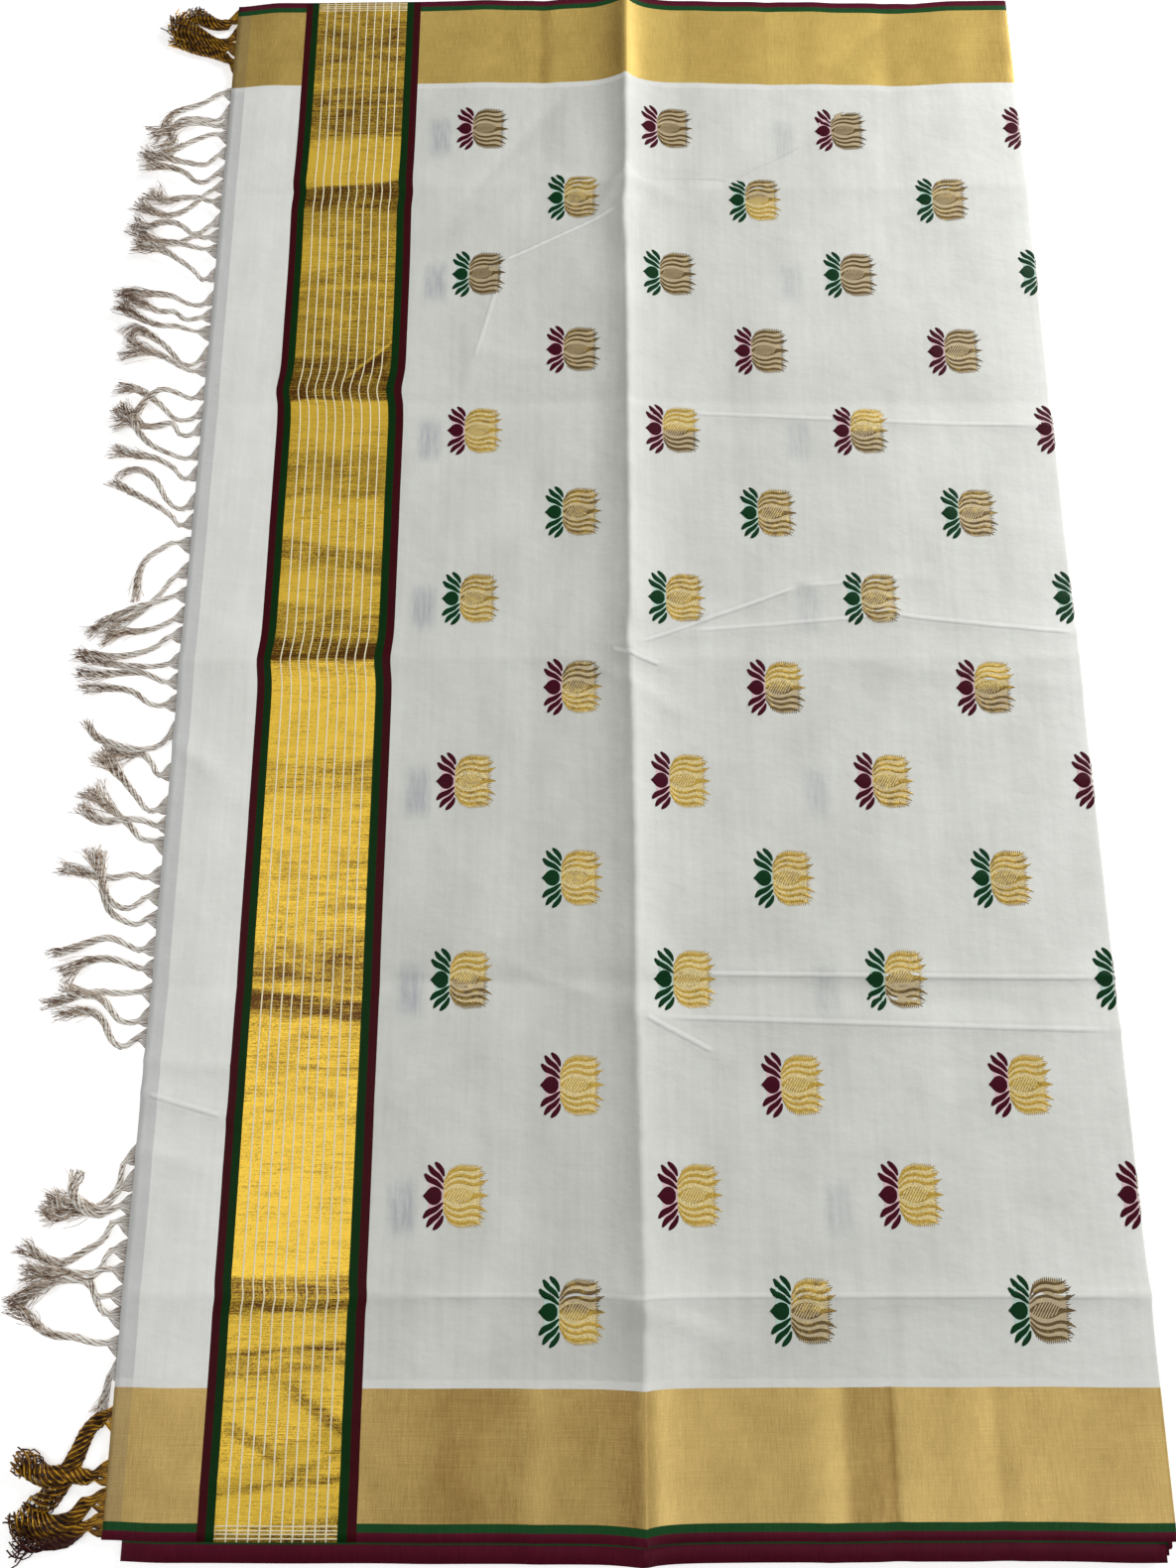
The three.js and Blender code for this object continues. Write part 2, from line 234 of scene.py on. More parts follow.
def fine_height(x, y):
    """The height with every small crease and wave."""
    top = x - between(RIDGE_WANDER, y)
    moved = np.exp(-np.abs(top) / RIDGE_TOP_SLOPE) - np.exp(-np.abs(x) / RIDGE_TOP_SLOPE)
    height = plain_height(x, y) + between(RIDGE_RISE, y) * moved * RIDGE_TOP_SHARE
    for (x1, y1), (x2, y2), rise, width in SMALL_CREASES:
        length = math.hypot(x2 - x1, y2 - y1)
        along = ((x - x1) * (x2 - x1) + (y - y1) * (y2 - y1)) / length
        across = ((x - x1) * (y2 - y1) - (y - y1) * (x2 - x1)) / length
        past = np.maximum(np.maximum(-along, along - length), 0)
        height = height + rise * np.exp(-np.abs(across) / width) * bell(past, 3 * width)
    for wave_x, rise, width, side in BORDER_WAVES:
        inwards = np.maximum(BORDER_INNER - side * y, 0)
        height = height + rise * bell(x - wave_x, width) * bell(inwards, WAVE_REACH)
    # Two slow swells, with their lengths in millimetres, keep flat cloth from looking ruled
    height = height + 0.35 * np.sin(x / 31 + 1.3 * np.sin(y / 140)) * np.sin(y / 77 + 0.8)
    height = height + 0.3 * np.sin(x / 17 + y / 61) * np.sin(y / 47 - x / 83)
    return height + EDGE_RISE * np.exp(-np.abs(top) / EDGE_SLOPE) - DIP * bell(x + DIP_X, DIP_WIDTH)


NEARBY = 3


def lowest_height(x, y):
    """The lowest height of the top face near a point, for whatever lies below it."""
    steps = [(0, 0), (-NEARBY, 0), (NEARBY, 0), (0, -NEARBY), (0, NEARBY)]
    return np.min([fine_height(x + step_x, y + step_y) for step_x, step_y in steps], axis=0)


# %% [markdown]
# The top stretch turns round its fold and tucks in under itself. A modifier could bend it, but
# the motifs and threads need the very same bend. So one function lays any flat piece on the
# cloth: U is X until the fold, and then the distance round it, and V is Y.

# %% Laying a flat piece on the cloth
FOLD_RADIUS = 2.5
FOLD_X = RIGHT - FOLD_RADIUS
TUCK = 4
# Where creases pull the pallu band sideways: where along Y, how far, and over what length
BAND_PULLS = [
    (400, 1.6, 9), (390, -1.2, 40), (213, -4.5, 15), (205, 1.2, 8), (-14, -2.6, 14), (-457, 1.4, 6),
]
BAND_MIDDLE, PULL_REACH = -229, 75


def laid(u, v, lift):
    """Where a point of the flat cloth lies, lifted off its face by lift."""
    pull = sum(size * bell(v - at, length) for at, size, length in BAND_PULLS)
    x = u + pull * bell(u - BAND_MIDDLE, PULL_REACH)
    x = np.minimum(x, FOLD_X)
    past = np.maximum(u - FOLD_X, 0)
    angle = np.minimum(past / FOLD_RADIUS, math.pi)
    tucked = np.maximum(past - math.pi * FOLD_RADIUS, 0)
    radius = FOLD_RADIUS + lift
    top = fine_height(x, v)
    return np.stack([
        x + radius * np.sin(angle) - tucked,
        v,
        top - FOLD_RADIUS + radius * np.cos(angle),
    ], axis=-1)


def read_points(piece):
    """The piece's vertices in millimetres, a row for each."""
    flat = np.empty(len(piece.data.vertices) * 3)
    piece.data.vertices.foreach_get("co", flat)
    return flat.reshape(-1, 3) / MM


def write_points(piece, points):
    """Moves the piece's vertices to points in millimetres."""
    piece.data.vertices.foreach_set("co", (points * MM).ravel())
    piece.data.update()


def lay_on_cloth(piece, lift=0.0):
    """Lays a flat piece, modelled in U and V, on the cloth. Its own height stays on top."""
    points = read_points(piece)
    write_points(piece, laid(points[:, 0], points[:, 1], points[:, 2] + lift))


# %% Flat grids with lines where they are wanted
# An even line stays out where a mark lies nearer than this share of a step
MARK_ROOM = 0.45


def grid_lines(low, high, step, marks=()):
    """Evenly spaced places from low to high, with one on each mark."""
    marks = sorted({low, high, *(mark for mark in marks if low < mark < high)})
    count = max(1, round((high - low) / step))
    even = [low + (high - low) * number / count for number in range(count + 1)]
    room = MARK_ROOM * step
    kept = [place for place in even if min(abs(place - mark) for mark in marks) > room]
    return sorted(marks + kept)


def flat_grid(name, us, vs):
    """A grid primitive whose lines are moved to the places in us and vs."""
    bpy.ops.mesh.primitive_grid_add(x_subdivisions=len(us) - 1, y_subdivisions=len(vs) - 1, size=1)
    piece = bpy.context.object
    piece.name = name
    share = read_points(piece) * MM + 0.5
    column = np.rint(share[:, 0] * (len(us) - 1)).astype(int)
    row = np.rint(share[:, 1] * (len(vs) - 1)).astype(int)
    place = np.stack([np.array(us)[column], np.array(vs)[row], np.zeros(len(row))], axis=-1)
    write_points(piece, place)
    return piece


def with_thickness(piece, thickness, offset=-1):
    """Gives a sheet its thickness, below its face unless offset says otherwise."""
    bpy.context.view_layer.objects.active = piece
    shell = piece.modifiers.new("thickness", "SOLIDIFY")
    shell.thickness = thickness * MM
    shell.offset = offset
    bpy.ops.object.modifier_apply(modifier=shell.name)


def smooth(piece):
    """Shades the piece's faces as one soft surface."""
    for face in piece.data.polygons:
        face.use_smooth = True


# %% [markdown]
# ## Colours
# A photo gives its colours as a screen shows them, and so do the finishes below. A shader wants
# them as light, so each is converted where it enters a node. Typed in as light, they couldn't be
# compared with a screen by eye.

# %% Screen colours to light
SCREEN_CURVE = 2.2


def as_light(colour):
    """A colour given 0 to 255 for each part, as light. A socket stays as it is."""
    if not isinstance(colour, tuple):
        return colour
    return (*((part / 255) ** SCREEN_CURVE for part in colour), 1)


def dimmed(colour, share):
    """The same colour, darker."""
    return tuple(part * share for part in colour)


# %% [markdown]
# ## Shader maths as plain maths
# A node tree is a formula. It can be wired node by node, in many more lines. The small class below
# wraps a socket and overloads the operators instead, so that a mask reads as an expression, and
# one method adds any other node with its settings.

# %% A socket that knows arithmetic
class Wire:
    """A value in a material. Arithmetic on it adds Math nodes."""

    def __init__(self, finish, socket):
        self.finish = finish
        self.socket = socket

    def maths(self, operation, first, second):
        """Adds a Math node to the material."""
        return self.finish.node("ShaderNodeMath", {"operation": operation}, {0: first, 1: second})

    def __add__(self, other):
        return self.maths("ADD", self, other)

    def __sub__(self, other):
        return self.maths("SUBTRACT", self, other)

    def __mul__(self, other):
        return self.maths("MULTIPLY", self, other)

    def __truediv__(self, other):
        return self.maths("DIVIDE", self, other)

    def __rsub__(self, other):
        return self.maths("SUBTRACT", other, self)

    __radd__ = __add__
    __rmul__ = __mul__

    def __abs__(self):
        return self.maths("ABSOLUTE", self, 0.0)

    def __gt__(self, other):
        return self.maths("GREATER_THAN", self, other)

    def __lt__(self, other):
        return self.maths("LESS_THAN", self, other)


# %% A material under construction
# The colour sockets of a Mix node, by their order
MIX_SHARE, MIX_DARK, MIX_LIGHT, MIX_RESULT = 0, 6, 7, 2


class Finish:
    """One material: its Principled shader, and helpers that add nodes to it."""

    def __init__(self, name, **fixed):
        self.material = bpy.data.materials.new(name)
        self.material.use_nodes = True
        self.tree = self.material.node_tree
        self.shader = self.tree.nodes["Principled BSDF"]
        for socket, value in fixed.items():
            self.shader.inputs[socket.replace("_", " ")].default_value = value

    def node(self, kind, settings=None, sockets=None, output=0):
        """Adds a node: its settings first, then the values or links of its sockets."""
        made = self.tree.nodes.new(kind)
        for name, value in (settings or {}).items():
            if name == "stops":
                self.set_stops(made.color_ramp, value)
            else:
                setattr(made, name, value)
        for name, value in (sockets or {}).items():
            self.join(made.inputs[name], value)
        return Wire(self, made.outputs[output])

    def set_stops(self, ramp, stops):
        """Gives a colour ramp a grey for each place."""
        while len(ramp.elements) < len(stops):
            ramp.elements.new(0.5)
        for element, (place, grey) in zip(ramp.elements, stops):
            element.position = place
            element.color = (grey, grey, grey, 1)

    def join(self, socket, value):
        """Links a socket to a Wire, or sets its value."""
        if isinstance(value, Wire):
            self.tree.links.new(value.socket, socket)
        else:
            socket.default_value = value

    def feed(self, name, value):
        """Feeds a socket of the Principled shader."""
        self.join(self.shader.inputs[name], value)

    def place(self):
        """Object coordinates in millimetres: X, Y and the whole vector."""
        metres = self.node("ShaderNodeTexCoord", output="Object")
        where = self.node("ShaderNodeVectorMath", {"operation": "SCALE"}, {0: metres, "Scale": 1 / MM})
        x = self.node("ShaderNodeSeparateXYZ", None, {0: where}, output="X")
        y = Wire(self, x.socket.node.outputs["Y"])
        return x, y, where

    def stretched(self, where, size):
        """The place divided by a size for each axis, to stretch a pattern."""
        sizes = tuple(1 / side for side in size)
        return self.node("ShaderNodeVectorMath", {"operation": "MULTIPLY"}, {0: where, 1: sizes})

    def noise(self, where, size, detail):
        """Soft noise whose patches have about that size along each axis."""
        return self.node("ShaderNodeTexNoise", None, {
            "Vector": self.stretched(where, size), "Scale": 1.0, "Detail": detail})

    def colours(self, mask, dark, light):
        """Blends two colours by a mask."""
        return self.node("ShaderNodeMix", {"data_type": "RGBA"}, {
            MIX_SHARE: mask, MIX_DARK: as_light(dark), MIX_LIGHT: as_light(light)}, output=MIX_RESULT)

    def spread(self, value, start, end, low=0.0, high=1.0, kind="SMOOTHSTEP"):
        """Maps start to end onto low to high."""
        return self.node("ShaderNodeMapRange", {"interpolation_type": kind}, {
            "Value": value, "From Min": start, "From Max": end, "To Min": low, "To Max": high})

    def tone(self, at, table):
        """Reads a table of (place in mm, tone) rows with a colour ramp."""
        low, high = table[0][0], table[-1][0]
        share = (at - low) / (high - low)
        stops = [((place - low) / (high - low), grey) for place, grey in table]
        return self.node("ShaderNodeValToRGB", {"stops": stops}, {0: share})

    def signed_tone(self, at, table, span):
        """Reads a table whose values lie within half a span of zero."""
        greys = [(place, value / span + 0.5) for place, value in table]
        return (self.tone(at, greys) - 0.5) * span

    def bump(self, height, strength, distance):
        """Relief in the shading alone. Its distance is in millimetres."""
        self.feed("Normal", self.node("ShaderNodeBump", None, {
            "Strength": strength, "Distance": distance * MM, "Height": height}))

    def along(self, where, heading):
        """How far the place lies in a direction."""
        sockets = {0: where, 1: (*heading, 0)}
        return self.node("ShaderNodeVectorMath", {"operation": "DOT_PRODUCT"}, sockets, output="Value")

    def line(self, where, start, end, half, soft):
        """1 on the line from start to end, fading at its sides and over a tenth at its ends."""
        length = math.dist(start, end)
        heading = ((end[0] - start[0]) / length, (end[1] - start[1]) / length)
        normal = (-heading[1], heading[0])
        middle = ((start[0] + end[0]) / 2, (start[1] + end[1]) / 2)
        aside = normal[0] * middle[0] + normal[1] * middle[1]
        ahead = heading[0] * middle[0] + heading[1] * middle[1]
        across = self.stripe(self.along(where, normal), aside, half, soft)
        return across * self.stripe(self.along(where, heading), ahead, length * 0.4, length * 0.1)

    def stripe(self, at, middle, half, soft):
        """1 on a line of that half width, fading over soft."""
        return self.spread(abs(at - middle), half, half + soft, 1.0, 0.0)


# %% [markdown]
# ## Cotton
# The ground is a fine plain weave, so thin that the stretch below shows through it as faint grey
# ghosts of its motifs. Uneven yarns leave soft streaks along the cloth's width. The last
# centimetre before the cut edge looks greyer, and a strip of denser white runs along each border.
# A picture of cloth could carry all this, but noise stretched along the yarns stays sharp close up.

# %% Cotton finish
# Ghosts of the motifs below: where along X and how strong, then their width and how far off a row
GHOST_COLUMNS = [(-157, 0.9), (134, 0.5)]
GHOST_HALF, GHOST_SOFT, GHOST_OFF_ROW = 4, 9, 8
ROW_PITCH = 71.6
FIRST_ROW_Y = 464.7
HEM_X = -328
# How light the cloth looks along X: where fewer layers lie below, it looks greyer
# The dark fall just left of the ridge and the light step right of it are painted ridge shade
LAYERS_AND_RIDGE_SHADE = [
    (-340, 0.86), (-205, 0.8), (-198, 0.38), (-150, 0.38), (-76, 0.37), (-70, 0.3), (-22, 0.27),
    (-12, 0.14), (-2, 0.1), (2, 0.62), (20, 0.58), (50, 0.42), (78, 0.43), (84, 0.38), (140, 0.42),
    (146, 0.46), (250, 0.56), (336, 0.8),
]
# The sharpest creases, pressed into the weave: from, to, and how deep against the others
PRESSED_LINES = [
    ((-104, 330), (-8, 379), 1.0),
    ((-102, 326), (-124, 240), 0.5),
    ((6, 411), (86, 414), -0.8),
    ((86, 414), (148, 450), -0.7),
    ((10, 195), (334, 181), 0.7),
    ((2, -4), (128, 45), 1.0),
    ((128, 45), (210, 53), 0.5),
    ((44, 8), (196, 22), 0.7),
    ((196, 22), (334, 6), 0.8),
    ((-16, -8), (22, -20), 0.8),
    ((4, -247), (334, -251), 0.8),
    ((12, -277), (334, -287), 0.7),
    ((6, -276), (54, -301), 0.7),
    ((-165, -456), (334, -457), 0.5),
    ((-336, -328), (-282, -343), 0.8),
]
LINE_HALF, LINE_SOFT = 0.3, 2.4
WANDER_SPAN = 20
COTTON_DARK, COTTON_LIGHT = (194, 196, 188), (244, 245, 240)
GHOST_GREY, HEM_GREY = (158, 162, 172), (166, 168, 174)
# Denser white along the borders, and the painted highlight of the sharpest creases
DENSE_WHITE, CREASE_HIGHLIGHT_WHITE = (236, 236, 232), (250, 250, 248)


def cotton_finish(name, on_top):
    """The cotton ground. Only the top stretch has ghosts, a hem, painted ridge shade and pressed lines
    with a painted highlight.
    """
    finish = Finish(name, Roughness=0.85, Specular_IOR_Level=0.2)
    x, y, where = finish.place()
    streaks = finish.noise(where, (4.5, 130, 40), 4.0)
    clouds = finish.noise(where, (38, 64, 60), 4.0)
    threads = finish.noise(where, (0.9, 14, 3), 1.0)
    tone = streaks * 0.3 + clouds * 0.65 + threads * 0.15 - 0.55
    if on_top:
        # The layers show through, and the ridge's painted shade follows its wandering top
        wander = finish.signed_tone(y, RIDGE_WANDER, WANDER_SPAN)
        sway = (finish.noise(where, (200, 22, 60), 3.0) - 0.5) * 7
        tone = tone + finish.tone(x - wander - sway, LAYERS_AND_RIDGE_SHADE)
    else:
        tone = tone + 0.3
    colour = finish.colours(tone, COTTON_DARK, COTTON_LIGHT)
    if on_top:
        rows = (y - FIRST_ROW_Y + GHOST_OFF_ROW) / (2 * ROW_PITCH)
        near_row = finish.node("ShaderNodeMath", {"operation": "PINGPONG"}, {0: rows, 1: 0.5})
        in_row = finish.spread(near_row, 0.06, 0.17, 1.0, 0.0)
        patch = 0
        for column, share in GHOST_COLUMNS:
            patch = finish.stripe(x, column, GHOST_HALF, GHOST_SOFT) * share + patch
        blotch = finish.noise(where, (2.6, 16, 6), 3.0)
        colour = finish.colours(patch * in_row * (blotch * 1.3 - 0.15), colour, GHOST_GREY)
        hem = (x < HEM_X) * 0.42
        colour = finish.colours(hem, colour, HEM_GREY)
        dense = finish.stripe(abs(y), BORDER_INNER - 2.5, 2, 1.5)
        colour = finish.colours(dense * 0.5, colour, DENSE_WHITE)
    weave = finish.noise(where, (0.55, 0.9, 0.6), 2.0)
    crumple = finish.noise(where, (22, 15, 20), 3.0)
    height = weave * 0.12 + crumple * 2.4
    if on_top:
        pressed = 0
        for start, end, depth in PRESSED_LINES:
            pressed = finish.line(where, start, end, LINE_HALF, LINE_SOFT) * depth + pressed
        height = height + pressed * 1.6
        # A painted highlight along the sharpest creases, with their relief in the bump
        colour = finish.colours(pressed * 0.5, colour, CREASE_HIGHLIGHT_WHITE)
    finish.feed("Base Color", colour)
    finish.bump(height, 0.7, 0.7)
    return finish.material


COTTON = cotton_finish("cotton", True)
COTTON_BELOW = cotton_finish("cotton_below", False)

# %% [markdown]
# ## Zari
# Zari is gold-coloured metal thread. In the borders it is woven thinly with cotton, so it looks
# tan and satin, with soft bars of painted light and shade where the cloth waves. In the pallu band
# it is dense and bright. It shines or goes dark with each change of tilt. Metal alone would show
# that only under the very lamps that lit the cloth, so the tables below paint that shine and shade
# into its colour along the cloth.

# %% Painted shine and shade of the zari, from dark to bright
NEAR_BORDER_SHINE = [
    (-340, 0.52), (-300, 0.6), (-180, 0.52), (-120, 0.26), (-80, 0.36), (-64, 0.6), (-52, 0.5),
    (-20, 0.36), (-3, 0.16), (4, 0.5), (12, 0.86), (30, 0.7), (60, 0.62), (100, 0.6), (118, 0.88),
    (128, 0.84), (134, 0.38), (158, 0.32), (162, 0.16), (166, 0.8), (200, 0.66), (224, 0.8),
    (230, 0.62), (280, 0.68), (325, 0.55), (336, 0.66),
]
FAR_BORDER_SHINE = [
    (-340, 0.4), (-300, 0.5), (-180, 0.58), (-130, 0.58), (-76, 0.58), (-70, 0.32), (-60, 0.6),
    (-22, 0.5), (-5, 0.22), (2, 0.8), (45, 0.86), (56, 0.6), (105, 0.7), (122, 0.62), (127, 0.84),
    (162, 0.74), (170, 0.72), (222, 0.84), (232, 0.66), (300, 0.7), (325, 0.5), (336, 0.62),
]
# The band's painted shine and shade, near end first, in three parts
BAND_NEAR_SHINE = [
    (-600, 0.4), (-590, 0.5), (-587, 1.0), (-572, 0.98), (-568, 0.45), (-564, 0.88), (-534, 0.84),
    (-530, 0.95), (-503, 0.7), (-501, 0.3), (-498, 0.62), (-491, 0.62), (-489, 0.3), (-486, 0.9),
    (-469, 0.9), (-466, 0.3), (-459, 0.32), (-457.5, 0.8), (-455, 0.28), (-447, 0.4), (-442, 1.0),
    (-400, 0.96), (-316, 0.78), (-311, 0.6), (-307, 0.74), (-280, 0.72), (-273, 0.05), (-264, 0.05),
    (-261, 0.76), (-251, 0.3), (-240, 0.34), (-225, 0.64),
]
BAND_MIDDLE_SHINE = [
    (-225, 0.64), (-170, 0.72), (-168, 0.6), (-165, 0.78), (-120, 0.86), (-112, 0.62), (-96, 0.62),
    (-84, 1.0), (-32, 1.0), (-16, 0.64), (-13, 0.05), (0, 0.15), (6, 0.54), (25, 0.55), (30, 0.78),
    (60, 0.74), (64, 0.42), (78, 0.45), (81, 0.88), (106, 0.97), (118, 0.85), (121, 0.58),
    (154, 0.58), (172, 1.0), (190, 1.0), (205, 1.0), (207, 0.18),
]
BAND_FAR_SHINE = [
    (207, 0.1), (243, 0.22), (248, 0.52), (307, 0.6), (310, 0.95), (313, 0.56), (356, 0.62),
    (384, 0.48), (387, 0.16), (407, 0.12), (409, 0.98), (436, 1.0), (439, 1.0), (443, 1.0),
    (453, 0.9), (461, 0.4), (486, 0.2), (488, 0.6), (490, 0.3), (498, 0.3), (500, 0.6), (502, 0.3),
    (508, 0.4), (511, 0.65), (516, 0.5), (535, 0.5), (538, 0.3), (543, 0.3), (546, 0.5), (551, 0.3),
    (561, 0.3), (600, 0.6),
]
# How far the painted shine and shade lean: each step across the band, they move this far along it
BAND_LEANS = [
    (-600, 0.1), (-500, 0.1), (-460, 0.02), (-300, -0.05), (-250, -0.12), (-100, 0.05), (-14, 0),
    (30, -0.2), (90, -0.16), (140, 0), (206, 0), (300, 0.08), (360, -0.2), (410, 0.13), (470, 0.02),
    (600, 0),
]
# Painted shine and shade at slanting folds of the band: middle X and Y, lean, half width, and how much
# lighter
BAND_FOLD_SHADE = [
    (-256, 432, -0.3, 9, 0.3), (-256, 340, 0.1, 18, 0.3), (-258, 44, 0.1, 14, 0.3),
    (-204, 240, 0.9, 6, -0.3), (-206, 244, 0.9, 2, 0.6), (-250, -542, -0.5, 5, -0.5),
    (-206, -526, -0.6, 5, -0.5), (-206, -556, 0.4, 4, -0.35), (-254, -206, 0.1, 12, 0.2),
    (-204, -232, 0.3, 8, -0.3), (-196, -10, 0.2, 6, -0.35),
]
SLANT_REACH = 20


def border_finish():
    """The thin zari of both borders."""
    finish = Finish("zari_border", Metallic=0.35, Roughness=0.42, Specular_IOR_Level=0.4)
    x, y, where = finish.place()
    far_side = y > 0
    # The tables paint the zari's shine and shade along the border
    tone = finish.tone(x, NEAR_BORDER_SHINE) * (1 - far_side)
    tone = tone + finish.tone(x, FAR_BORDER_SHINE) * far_side
    grain = finish.noise(where, (0.7, 11, 2), 2.0)
    picks = finish.noise(where, (30, 0.7, 3), 1.0)
    clouds = finish.noise(where, (26, 34, 30), 3.0)
    glint_noise = finish.noise(where, (0.8, 0.8, 0.8), 1.0)
    painted_glints = finish.spread(glint_noise, 0.62, 0.72, kind="LINEAR")
    shade = tone + (grain - 0.5) * 0.5 + (picks - 0.5) * 0.22 + (clouds - 0.5) * 0.5
    colour = finish.colours(shade, (142, 108, 50), (238, 204, 126))
    yellower = finish.colours(shade, (142, 110, 40), (242, 208, 102))
    colour = finish.colours(far_side * 0.5, colour, yellower)
    # Painted glints, strongest where the painted shine is
    colour = finish.colours(painted_glints * tone * 0.6, colour, (255, 232, 140))
    edge = (x < HEM_X) * 0.35
    finish.feed("Base Color", finish.colours(edge, colour, (150, 132, 104)))
    finish.bump(grain + picks, 0.4, 0.2)
    return finish.material


def band_finish():
    """The dense zari of the pallu band, with painted shine and shade along it and at its slanting folds.
    """
    finish = Finish("zari_band", Metallic=0.5, Roughness=0.38, Specular_IOR_Level=0.4)
    x, y, where = finish.place()
    sway = finish.noise(where, (45, 26, 30), 2.0)
    lean = finish.signed_tone(y, BAND_LEANS, 1)
    at = y - (x - BAND_MIDDLE) * lean + (sway - 0.5) * 4
    # The tables paint the band's shine and shade along it
    in_near = at < BAND_MIDDLE_SHINE[0][0]
    in_far = at > BAND_MIDDLE_SHINE[-1][0]
    tone = finish.tone(at, BAND_NEAR_SHINE) * in_near + finish.tone(at, BAND_FAR_SHINE) * in_far
    tone = tone + finish.tone(at, BAND_MIDDLE_SHINE) * (1 - in_near) * (1 - in_far)
    # Painted shine and shade where the band folds on a slant
    for middle_x, middle_y, slope, half, change in BAND_FOLD_SHADE:
        fold = finish.stripe(y - x * slope, middle_y - middle_x * slope, half * 0.4, half)
        tone = tone + fold * finish.stripe(x, middle_x, SLANT_REACH * 0.4, SLANT_REACH) * change
    picks = finish.noise(where, (26, 0.62, 3), 1.0)
    rough_picks = finish.noise(where, (14, 2.6, 3), 3.0)
    # Painted glints and pools of shine and shade, over the picks of the weave
    glints = finish.noise(where, (1.2, 0.8, 1), 1.0)
    shine_pools = finish.noise(where, (24, 9, 12), 3.0)
    shade = tone + (picks - 0.5) * 1.3 + (rough_picks - 0.5) * 0.5
    shade = shade + (glints - 0.5) * 1.4 + (shine_pools - 0.5) * 0.9
    finish.feed("Base Color", finish.colours(shade, (92, 56, 4), (255, 210, 74)))
    finish.bump(picks + glints * 0.5, 0.5, 0.25)
    return finish.material


BORDER = border_finish()
BAND = band_finish()


# %% Silk thread, for the maroon and green stripes
def thread_finish(name, dark, light, size=(0.8, 9, 2)):
    """Dyed thread, its tone a little uneven over a size for each axis."""
    finish = Finish(name, Roughness=0.55, Specular_IOR_Level=0.12)
    _, _, where = finish.place()
    threads = finish.noise(where, size, 2.0)
    clouds = finish.noise(where, (20, 20, 20), 2.0)
    finish.feed("Base Color", finish.colours(threads * 0.7 + clouds * 0.3, dark, light))
    finish.bump(threads, 0.4, 0.15)
    return finish.material


BAND_MAROON = thread_finish("band_maroon", (44, 2, 12), (78, 8, 24), (6, 0.7, 2))
BAND_GREEN = thread_finish("band_green", (4, 32, 8), (14, 62, 18), (6, 0.7, 2))
SELVAGE_MAROON = thread_finish("selvage_maroon", (66, 10, 28), (104, 28, 50))
SELVAGE_GREEN = thread_finish("selvage_green", (14, 54, 26), (38, 88, 46))
CREAM = thread_finish("cream_thread", (240, 222, 170), (255, 250, 224), (0.6, 3, 1))

# %% [markdown]
# ## The top stretch
# The real stretch is one woven piece, field, borders and pallu band together. Strips for each
# colour could be set side by side, but they would part at their edges. So one grid carries the
# whole stretch. Its lines stand exactly on the edges between the colours, and each colour is a
# slot of faces with a crisp edge, as it is in the weave.

# %% Where the woven stripes lie, the band's along X and the borders' on both sides of the middle
BAND_EDGES = [-279, -273.5, -268, -190.5, -184.5, -178.5]
GREEN_OUTER = 594.5
GREEN_INNER = 589.5
WIDTH_MARKS = [side * place for side in (-1, 1) for place in (BORDER_INNER, GREEN_INNER, GREEN_OUTER)]
FLAT_END = FOLD_X + math.pi * FOLD_RADIUS + TUCK
TOP_SLOTS = [COTTON, BORDER, SELVAGE_GREEN, SELVAGE_MAROON, BAND, BAND_GREEN, BAND_MAROON]


def across_slot(v, green=GREEN_INNER, maroon=GREEN_OUTER):
    """The slot of a stripe across the cloth's width: field, border, green or maroon."""
    off = abs(v)
    if off < BORDER_INNER:
        return 0
    return 1 if off < green else 2 if off < maroon else 3


def top_slot(u, v):
    """The slot of a face of the top stretch: in the band, or in a stripe along the cloth."""
    outer_left, left_green, left_gold, right_gold, right_green, outer_right = BAND_EDGES
    if not outer_left < u < outer_right:
        return across_slot(v)
    if left_gold < u < right_gold:
        return 4
    return 5 if left_green < u < right_green else 6


def paint_faces(piece, slots, choose):
    """Gives each face its slot by its middle, in millimetres."""
    for material in slots:
        piece.data.materials.append(material)
    for face in piece.data.polygons:
        face.material_index = choose(face.center.x / MM, face.center.y / MM)


# %% Make the top stretch
TOP_STEP = 4.4
CREASE_LINES = [-3, 0, 3]
RIDGE_LINES = [-5, -3, -1, 1, 3, 5]
FOLD_LINES = [0, 1.3, 2.6, 3.9, 5.2, 6.5, 7.85]
CLOTH_THICKNESS = 0.45
crease_marks = [crease_y + side for crease_y, _, _ in CREASES for side in CREASE_LINES]
fold_marks = [FOLD_X + step for step in FOLD_LINES]
top_us = grid_lines(LEFT, FLAT_END, TOP_STEP, BAND_EDGES + [HEM_X] + RIDGE_LINES + fold_marks)
top_vs = grid_lines(NEAR, FAR, TOP_STEP, WIDTH_MARKS + crease_marks)
top_cloth = flat_grid("top_cloth", top_us, top_vs)
paint_faces(top_cloth, TOP_SLOTS, top_slot)
lay_on_cloth(top_cloth)
with_thickness(top_cloth, CLOTH_THICKNESS)
smooth(top_cloth)
print("top cloth", len(top_cloth.data.polygons), "faces")

# %% [markdown]
# ## The second stretch and the hidden ones
# Below the top stretch lies the next one, a little nearer, so its selvage shows as a second
# stripe. The rest of the cloth goes to and fro under it. A block would fill that space, but its
# sides would look cut. So one long grid is bent to and fro, and the far, near and side faces of
# the stack show real folds and selvages.

